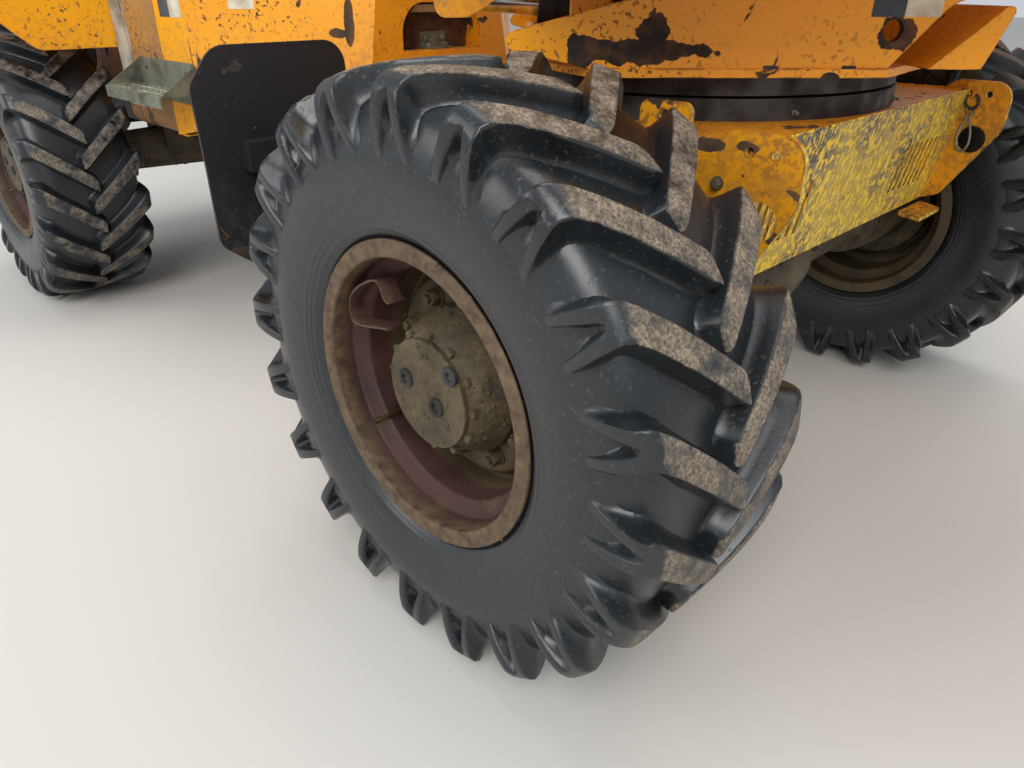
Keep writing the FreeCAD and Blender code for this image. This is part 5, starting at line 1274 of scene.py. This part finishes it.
def driver_seat():
    """Padded cushion and back in vinyl, each with a piped seam."""
    low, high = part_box("seat_cushion")
    x0, x1, z0, z1 = (low.x - origin.x, high.x - origin.x, low.z - origin.z, high.z - origin.z)
    outline = loop_rounded([(x0 + 0.014, z0 + 0.004), (x1 - 0.012, z0 + 0.004), (x1 - 0.012, z1 - 0.022),
                            (x1 - 0.110, z1 - 0.010), (x0 + 0.060, z1 - 0.030), (x0 + 0.014, z1 - 0.034)])
    form = seat_form(outline, 0.030)
    cushion = new_piece("padded_cushion", inflated("cushion", form.mesh("cushion"), low, high),
                        "rear_chassis", vinyl, ["seat_cushion"])
    loop = rounded_loop(x0 + 0.050, x1 - 0.052, -0.196, 0.196, 0.045)
    piped_seam("cushion_seam", cushion, [at(x, y, z1 + 0.2) for x, y in loop], (0, 0, -1))
    low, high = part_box("seat_back")
    foot = high.x - origin.x
    z0, z1 = low.z - origin.z, high.z - origin.z
    outline = loop_rounded([(foot - 0.012, z0 + 0.010), (foot - 0.012, z0 + 0.120),
                            (foot - 0.030, z0 + 0.260), (foot - 0.060, z1 - 0.014),
                            (foot - 0.098, z1 - 0.018), (foot - 0.086, z0 + 0.010)])
    form = seat_form(outline, 0.034)
    rest = new_piece("padded_back", inflated("back", form.mesh("back"), low, high),
                     "rear_chassis", vinyl, ["seat_back"])
    loop = rounded_loop(-0.190, 0.190, z0 + 0.150, z1 - 0.048, 0.045)
    piped_seam("back_seam", rest, [at(foot + 0.2, y, z) for y, z in loop], (-1, 0, 0))


# Ends of the console's sloping top, as (forward, up)
console_front = Vector((-1.4103, 1.7000))
console_back = Vector((-1.5400, 1.6599))


def on_console(share, y, rise=0.0):
    """A place on the console's sloping top: share of the way back, Y, and rise above it."""
    fall = console_back - console_front
    place = console_front + fall * share + Vector((fall.y, -fall.x)).normalized() * rise
    return at(place.x, y, place.y)


def driver_controls():
    """Gauges with blank faces, rocker switches and lever boots."""
    up = (on_console(0.5, 0, 0.1) - on_console(0.5, 0)).normalized()
    along = (on_console(1, 0) - on_console(0, 0)).normalized()
    bezel = lent("gauge_bezel", turned_z([(0, -0.001), (0.034, -0.001), (0.034, 0.007), (0.031, 0.010),
                                          (0.028, 0.009), (0.027, 0.004), (0, 0.004)], 32))
    dials = [(on_console(0.52, y), up, along) for y in (0.110, 0.190)]
    on_spots("gauge_bezels", bezel, dials, "rear_chassis", abs_black)
    face = lent("gauge_face", turned_z([(0, 0.0035), (0.0265, 0.0035), (0.0265, 0.0046), (0, 0.0046)], 32))
    on_spots("gauge_faces", face, dials, "rear_chassis", label_face)
    needle = Form()
    needle.add_box((-0.002, -0.0012, 0.0040), (0.021, 0.0012, 0.0062))
    turned = [(place, up, (along + Vector((0, 0.8, 0))).normalized()) for place, _, _ in dials]
    on_spots("gauge_needles", lent("gauge_needle", needle), turned, "rear_chassis", red_lens)
    rocker = Form()
    rocker.add_prism([(-0.016, -0.010, -0.001), (0.016, -0.010, -0.001), (0.016, -0.010, 0.004),
                      (0.002, -0.010, 0.0065), (-0.016, -0.010, 0.011)], (0, 0.020, 0))
    switches = [(on_console(0.5, y), up, along) for y in (-0.052, -0.080, -0.108, 0.052)]
    on_spots("rocker_switches", lent("rocker_switch", rocker), switches, "rear_chassis", abs_black)
    boot = turned_z([(0, -0.001), (0.021, -0.001), (0.021, 0.004), (0.0175, 0.007), (0.0195, 0.011),
                     (0.0150, 0.014), (0.0170, 0.018), (0.0125, 0.021), (0.0145, 0.025), (0.0095, 0.029),
                     (0.0074, 0.033), (0, 0.033)], 24)
    boots = [(on_console(0.5, y), up, along) for y in (-0.170, -0.215)]
    on_spots("lever_boots", lent("lever_boot", boot), boots, "rear_chassis", abs_black)


floor_top = 1.165
tread_front = -1.60
tread_right = -0.60


def floor_tread():
    """Raised bars in two crossing directions, rolled on the driver's floor."""
    bar = turned_z([(0, -0.0004), (0.0105, -0.0004), (0.0085, 0.0013), (0, 0.0017)], 8)
    for point in bar.points:
        point.y *= 0.28
    part = lent("tread_bar", bar)
    spots = []
    for row in range(26):
        for column in range(30):
            x, y = tread_front - row * 0.0215, tread_right + column * 0.0415
            under_seat = abs(y) < 0.28 and x < -1.935
            under_pedal = -1.66 < x < -1.54 and (-0.185 < y < -0.085 or 0.105 < y < 0.205)
            if under_seat or under_pedal:
                continue
            heading = Vector((1, 1, 0)) if (row + column) % 2 else Vector((1, -1, 0))
            spots.append((at(x, y, floor_top), Vector((0, 0, 1)), heading))
    on_spots("floor_tread_bars", part, spots, "rear_chassis", black_enamel)


def landed(node, start, toward, heading):
    """A spot where a ray meets a CAD node, facing as its surface does, with its heading."""
    place, facing = landing(node, start, toward)
    return place, facing, Vector(heading)


def tail_lamp_trim():
    """Ribs and screws of the tail lamps' lenses."""
    lamp_out, lamp_middle = 0.480, 0.942
    low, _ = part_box("tail_lamps")
    back = low.x - origin.x
    for side, label in ((-1, "near"), (1, "far")):
        middle = at(back, side * lamp_out, lamp_middle)
        form = Form()
        for i in range(9):
            y = -0.050 + i * 0.0125
            form.add_prism([middle + Vector((0.0005, y - 0.0050, -0.034)),
                            middle + Vector((0.0005, y + 0.0050, -0.034)),
                            middle + Vector((-0.0022, y, -0.034))], (0, 0, 0.068))
        new_piece("lens_ribs_" + label, form.mesh("lens_ribs"), "rear_chassis", red_lens)
    screw = lent("lens_screw", turned_z([(0, -0.0005), (0.0032, -0.0005), (0.0026, 0.0016), (0, 0.0020)], 12))
    screws = [(at(back + 0.0002, side * lamp_out + dy, lamp_middle), Vector((-1, 0, 0)), Vector((0, 1, 0)))
              for side in (-1, 1) for dy in (-0.0565, 0.0565)]
    on_spots("lens_screws", screw, screws, "rear_chassis", galvanised)


def counterweight_trim():
    """Red reflectors and bolts on the counterweight's rear face."""
    behind = -4.2
    reflector = lent("reflector", turned_z([(0, -0.001), (0.033, -0.001), (0.033, 0.004), (0.029, 0.007),
                                            (0, 0.0085)], 32))
    spots = [landed("counterweight", at(behind, side * 0.49, 0.80), (1, 0, 0), (0, 1, 0))
             for side in (-1, 1)]
    on_spots("rear_reflectors", reflector, spots, "rear_chassis", red_lens)
    bolts = [landed("counterweight", at(behind, side * y, z), (1, 0, 0), (0, 1, 0))
             for side in (-1, 1) for y, z in ((0.25, 0.79), (0.25, 0.63), (0.40, 0.63), (0.40, 0.79))]
    on_spots("counterweight_bolts", frame_bolt, bolts, "rear_chassis", cast_iron)


def cover_trim():
    """Handles and latches on the engine cover's sides."""
    handles, latches = Form(), []
    for side in (-1, 1):
        inwards = (0, -side, 0)
        (front_foot, facing), (rear_foot, _) = [
            landing("engine_cover", at(x, side * 2.0, 1.400), inwards) for x in (-2.86, -3.00)]
        out = facing * 0.034
        handles.add_swept(smooth_line([front_foot - out * 0.06, front_foot + out, rear_foot + out,
                                       rear_foot - out * 0.06], 4), round_section(0.0060))
        latches += [landed("engine_cover", at(x, side * 2.0, 1.200), inwards, (0, 0, 1))
                    for x in (-2.52, -3.18)]
    new_piece("cover_handles", handles.mesh("cover_handles"), "engine_cover", galvanised)
    latch = Form()
    latch.add_box((-0.030, -0.014, -0.001), (0.030, 0.014, 0.004))
    latch.add_box((-0.006, -0.011, 0.003), (0.026, 0.011, 0.013))
    latch.add_bar((-0.016, -0.017, 0.009), (-0.016, 0.017, 0.009), 0.0045, 12)
    on_spots("cover_latches", lent("cover_latch", latch, 0.8 * mm), latches, "engine_cover", galvanised)


def exhaust_clamps():
    """Two band clamps round the exhaust, each with its bolted ear."""
    pipe_low, pipe_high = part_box("exhaust")
    middle = (pipe_low + pipe_high) / 2
    band = [(-0.001, -0.010), (0.0018, -0.010), (0.0018, 0.010), (-0.001, 0.010)]
    clamps = Form()
    for share in (0.30, 0.62):
        height = pipe_low.z + (pipe_high.z - pipe_low.z) * share
        centre = Vector((middle.x, middle.y, height))
        place, _ = landing("exhaust", Vector((middle.x, middle.y - 1.0, height)), (0, 1, 0))
        radius = (place - centre).length
        ring = []
        for i in range(49):
            angle = math.tau * i / 48
            across = Vector((math.cos(angle), math.sin(angle), 0))
            spot = centre + across * radius
            ring.append([spot + across * u + Vector((0, 0, v)) for u, v in band])
        clamps.add_grid(ring, round_way=True)
        clamps.add_box((middle.x - 0.009, middle.y - radius - 0.020, height - 0.008),
                       (middle.x + 0.009, middle.y - radius + 0.001, height + 0.008))
    new_piece("exhaust_clamps", clamps.mesh("exhaust_clamps", 0.5 * mm), "rear_chassis", galvanised)


def upper_hardware():
    """Bolts of the posts and the floor, keepers of the tip pins, and the centre pin's nipple."""
    spots = [landed("rops_posts", at(-2.385, side * 2.0, z), (0, -side, 0), (1, 0, 0))
             for side in (-1, 1) for z in (1.25, 1.30, 1.85)]
    on_spots("post_bolts", frame_bolt, spots, "rear_chassis", galvanised)
    keepers, heads = Form(), []
    keeper_thick = 0.006
    out = slewed(0, 1, 0) - slewed(0, 0, 0)
    ahead = slewed(1, 0, 0) - slewed(0, 0, 0)
    for side in (-1, 1):
        plate = [slewed(x, side * cheek_half, z) for x, z in (
            (0.520, 1.222), (0.586, 1.222), (0.586, 1.246), (0.520, 1.246))]
        keepers.add_prism(plate, out * side * keeper_thick)
        heads += [(slewed(x, side * 0.514, 1.234), out * side, ahead) for x in (0.530, 0.576)]
    new_piece("pin_keepers", keepers.mesh("pin_keepers", 0.8 * mm), "swivel", cheek_enamel)
    on_spots("keeper_bolts", small_bolt, heads, "swivel", galvanised)
    place, _ = landing("centre_knuckle", at(-1.300, 0.0, 1.6), (0, 0, -1))
    greased = [(place, Vector((0, 0, 1)), Vector((1, 0, 0)))]
    on_spots("pivot_nipple", grease_nipple, greased, "centre_joint", galvanised)
    bolts = [landed("cab_floor", at(x, side * (body_half - 0.025), 2.0), (0, 0, -1), (1, 0, 0))
             for side in (-1, 1) for x in (-1.60, -1.70, -1.90, -2.00, -2.10)]
    on_spots("floor_bolts", coach_bolt, bolts, "rear_chassis", galvanised)


def stuck_mud():
    """Dried lumps on the hubs, the rims, the axles, the front guards and the front frame."""
    ball = bmesh.new()
    bmesh.ops.create_icosphere(ball, subdivisions=1, radius=1.0)
    for vertex in ball.verts:
        vertex.co *= 1.0 + 0.30 * noise.noise(vertex.co * 1.7)
    made = bpy.data.meshes.new("mud_lump")
    ball.to_mesh(made)
    ball.free()
    shade_smooth(made)
    lump = hidden_form("mud_lump", made)
    names = ("fl", "fr", "rl", "rr")
    # Node, body, lumps a square metre, smallest and largest size in metres, finish, seed
    places = [("hub_" + name, "wheel_" + name, 7000, 0.0015, 0.0075, hub_mud, 3) for name in names]
    places += [("rim_" + name, "wheel_" + name, 1500, 0.0010, 0.0060, rim_rust, 5) for name in names]
    places += [("front_axle", "front_chassis", 2600, 0.0015, 0.0110, axle_mud, 7),
               ("rear_axle", "rear_chassis", 2600, 0.0015, 0.0110, axle_mud, 8),
               ("front_mudguards", "front_chassis", 700, 0.0008, 0.0032, axle_mud, 9),
               ("front_frame", "front_chassis", 450, 0.0008, 0.0040, axle_mud, 11)]
    for node, body, density, smallest, largest, finish, seed in places:
        surface = frame["nodes"][node].data.copy()
        mesh = made_by(crumbs_tree, surface, {
            "Lump": lump, "Lumps a square metre": float(density), "Smallest": smallest, "Largest": largest,
            "Seed": seed, "Finish": finish})
        mesh.name = "mud_on_" + node
        new_piece("mud_on_" + node, mesh, body, finish)


detailed_tyres()
wheel_hardware()
bent_strap()
chassis_hardware()
guard_hardware()
blank_labels()
rear_body_trim()
step_grip()
chassis_welds()
axle_hardware()
driver_seat()
driver_controls()
floor_tread()
tail_lamp_trim()
counterweight_trim()
cover_trim()
exhaust_clamps()
upper_hardware()
stuck_mud()

for lender in lent_forms:
    bpy.data.objects.remove(lender)


def stage_mesh(name, points, material):
    mesh = bpy.data.meshes.new(name)
    mesh.from_pydata(points, [], [tuple(range(len(points)))])
    mesh.materials.append(material)
    made = bpy.data.objects.new(name, mesh)
    bpy.context.scene.collection.objects.link(made)


def pale_floor():
    """Plain pale studio floor at the tyres' feet."""
    material, _, shader, _ = empty_material("pale_studio_floor")
    shader.inputs["Base Color"].default_value = colour("#CAC6BF")
    shader.inputs["Roughness"].default_value = 0.9
    reach = 40.0
    stage_mesh("studio_floor", [at(-reach, -reach, 0), at(reach, -reach, 0), at(reach, reach, 0),
                                at(-reach, reach, 0)], material)


def studio_light(name, place, aim, size, power):
    lamp = bpy.data.lights.new(name, "AREA")
    lamp.shape = "DISK"
    lamp.size = size
    lamp.energy = power
    made = bpy.data.objects.new(name, lamp)
    made.location = place
    made.rotation_mode = "QUATERNION"
    made.rotation_quaternion = (aim - place).to_track_quat("-Z", "Y")
    bpy.context.scene.collection.objects.link(made)


sky_strength = 0.72


def studio_world():
    world = bpy.data.worlds.new("overcast_studio")
    world.use_nodes = True
    tree = world.node_tree
    tree.nodes.clear()
    sky = put(tree, "ShaderNodeBackground", inputs={"Color": colour("#E6EBF2"), "Strength": sky_strength})
    put(tree, "ShaderNodeOutputWorld", inputs={"Surface": sky.outputs[0]})
    bpy.context.scene.world = world


# The camera stands a step ahead of the near front wheel and looks back and down across it
camera_place = (0.911, -1.728, 1.169)
camera_yaw = math.radians(135.45)
camera_pitch = math.radians(-28.28)
sensor_width = 36.0
photo_width = 1024
focal_pixels = 736.97


def photo_camera():
    data = bpy.data.cameras.new("photo_camera")
    data.sensor_width = sensor_width
    data.lens = sensor_width * focal_pixels / photo_width
    data.clip_start = 0.05
    data.clip_end = 200.0
    made = bpy.data.objects.new("photo_camera", data)
    ahead = Vector((math.cos(camera_yaw) * math.cos(camera_pitch),
                    math.sin(camera_yaw) * math.cos(camera_pitch), math.sin(camera_pitch)))
    made.location = at(*camera_place)
    made.rotation_mode = "QUATERNION"
    made.rotation_quaternion = ahead.to_track_quat("-Z", "Y")
    bpy.context.scene.collection.objects.link(made)
    bpy.context.scene.camera = made


pale_floor()
studio_world()
studio_light("key_softbox", at(4.4, -6.4, 7.2), at(0.0, -0.6, 0.6), size=6.0, power=640.0)
studio_light("fill_softbox", at(-4.6, -8.6, 5.0), at(-1.0, -0.4, 0.8), size=6.0, power=260.0)
studio_light("top_softbox", at(-1.0, 1.5, 9.5), at(-1.0, 0.0, 0.5), size=8.0, power=460.0)
photo_camera()
bpy.context.scene.view_settings.view_transform = "Standard"
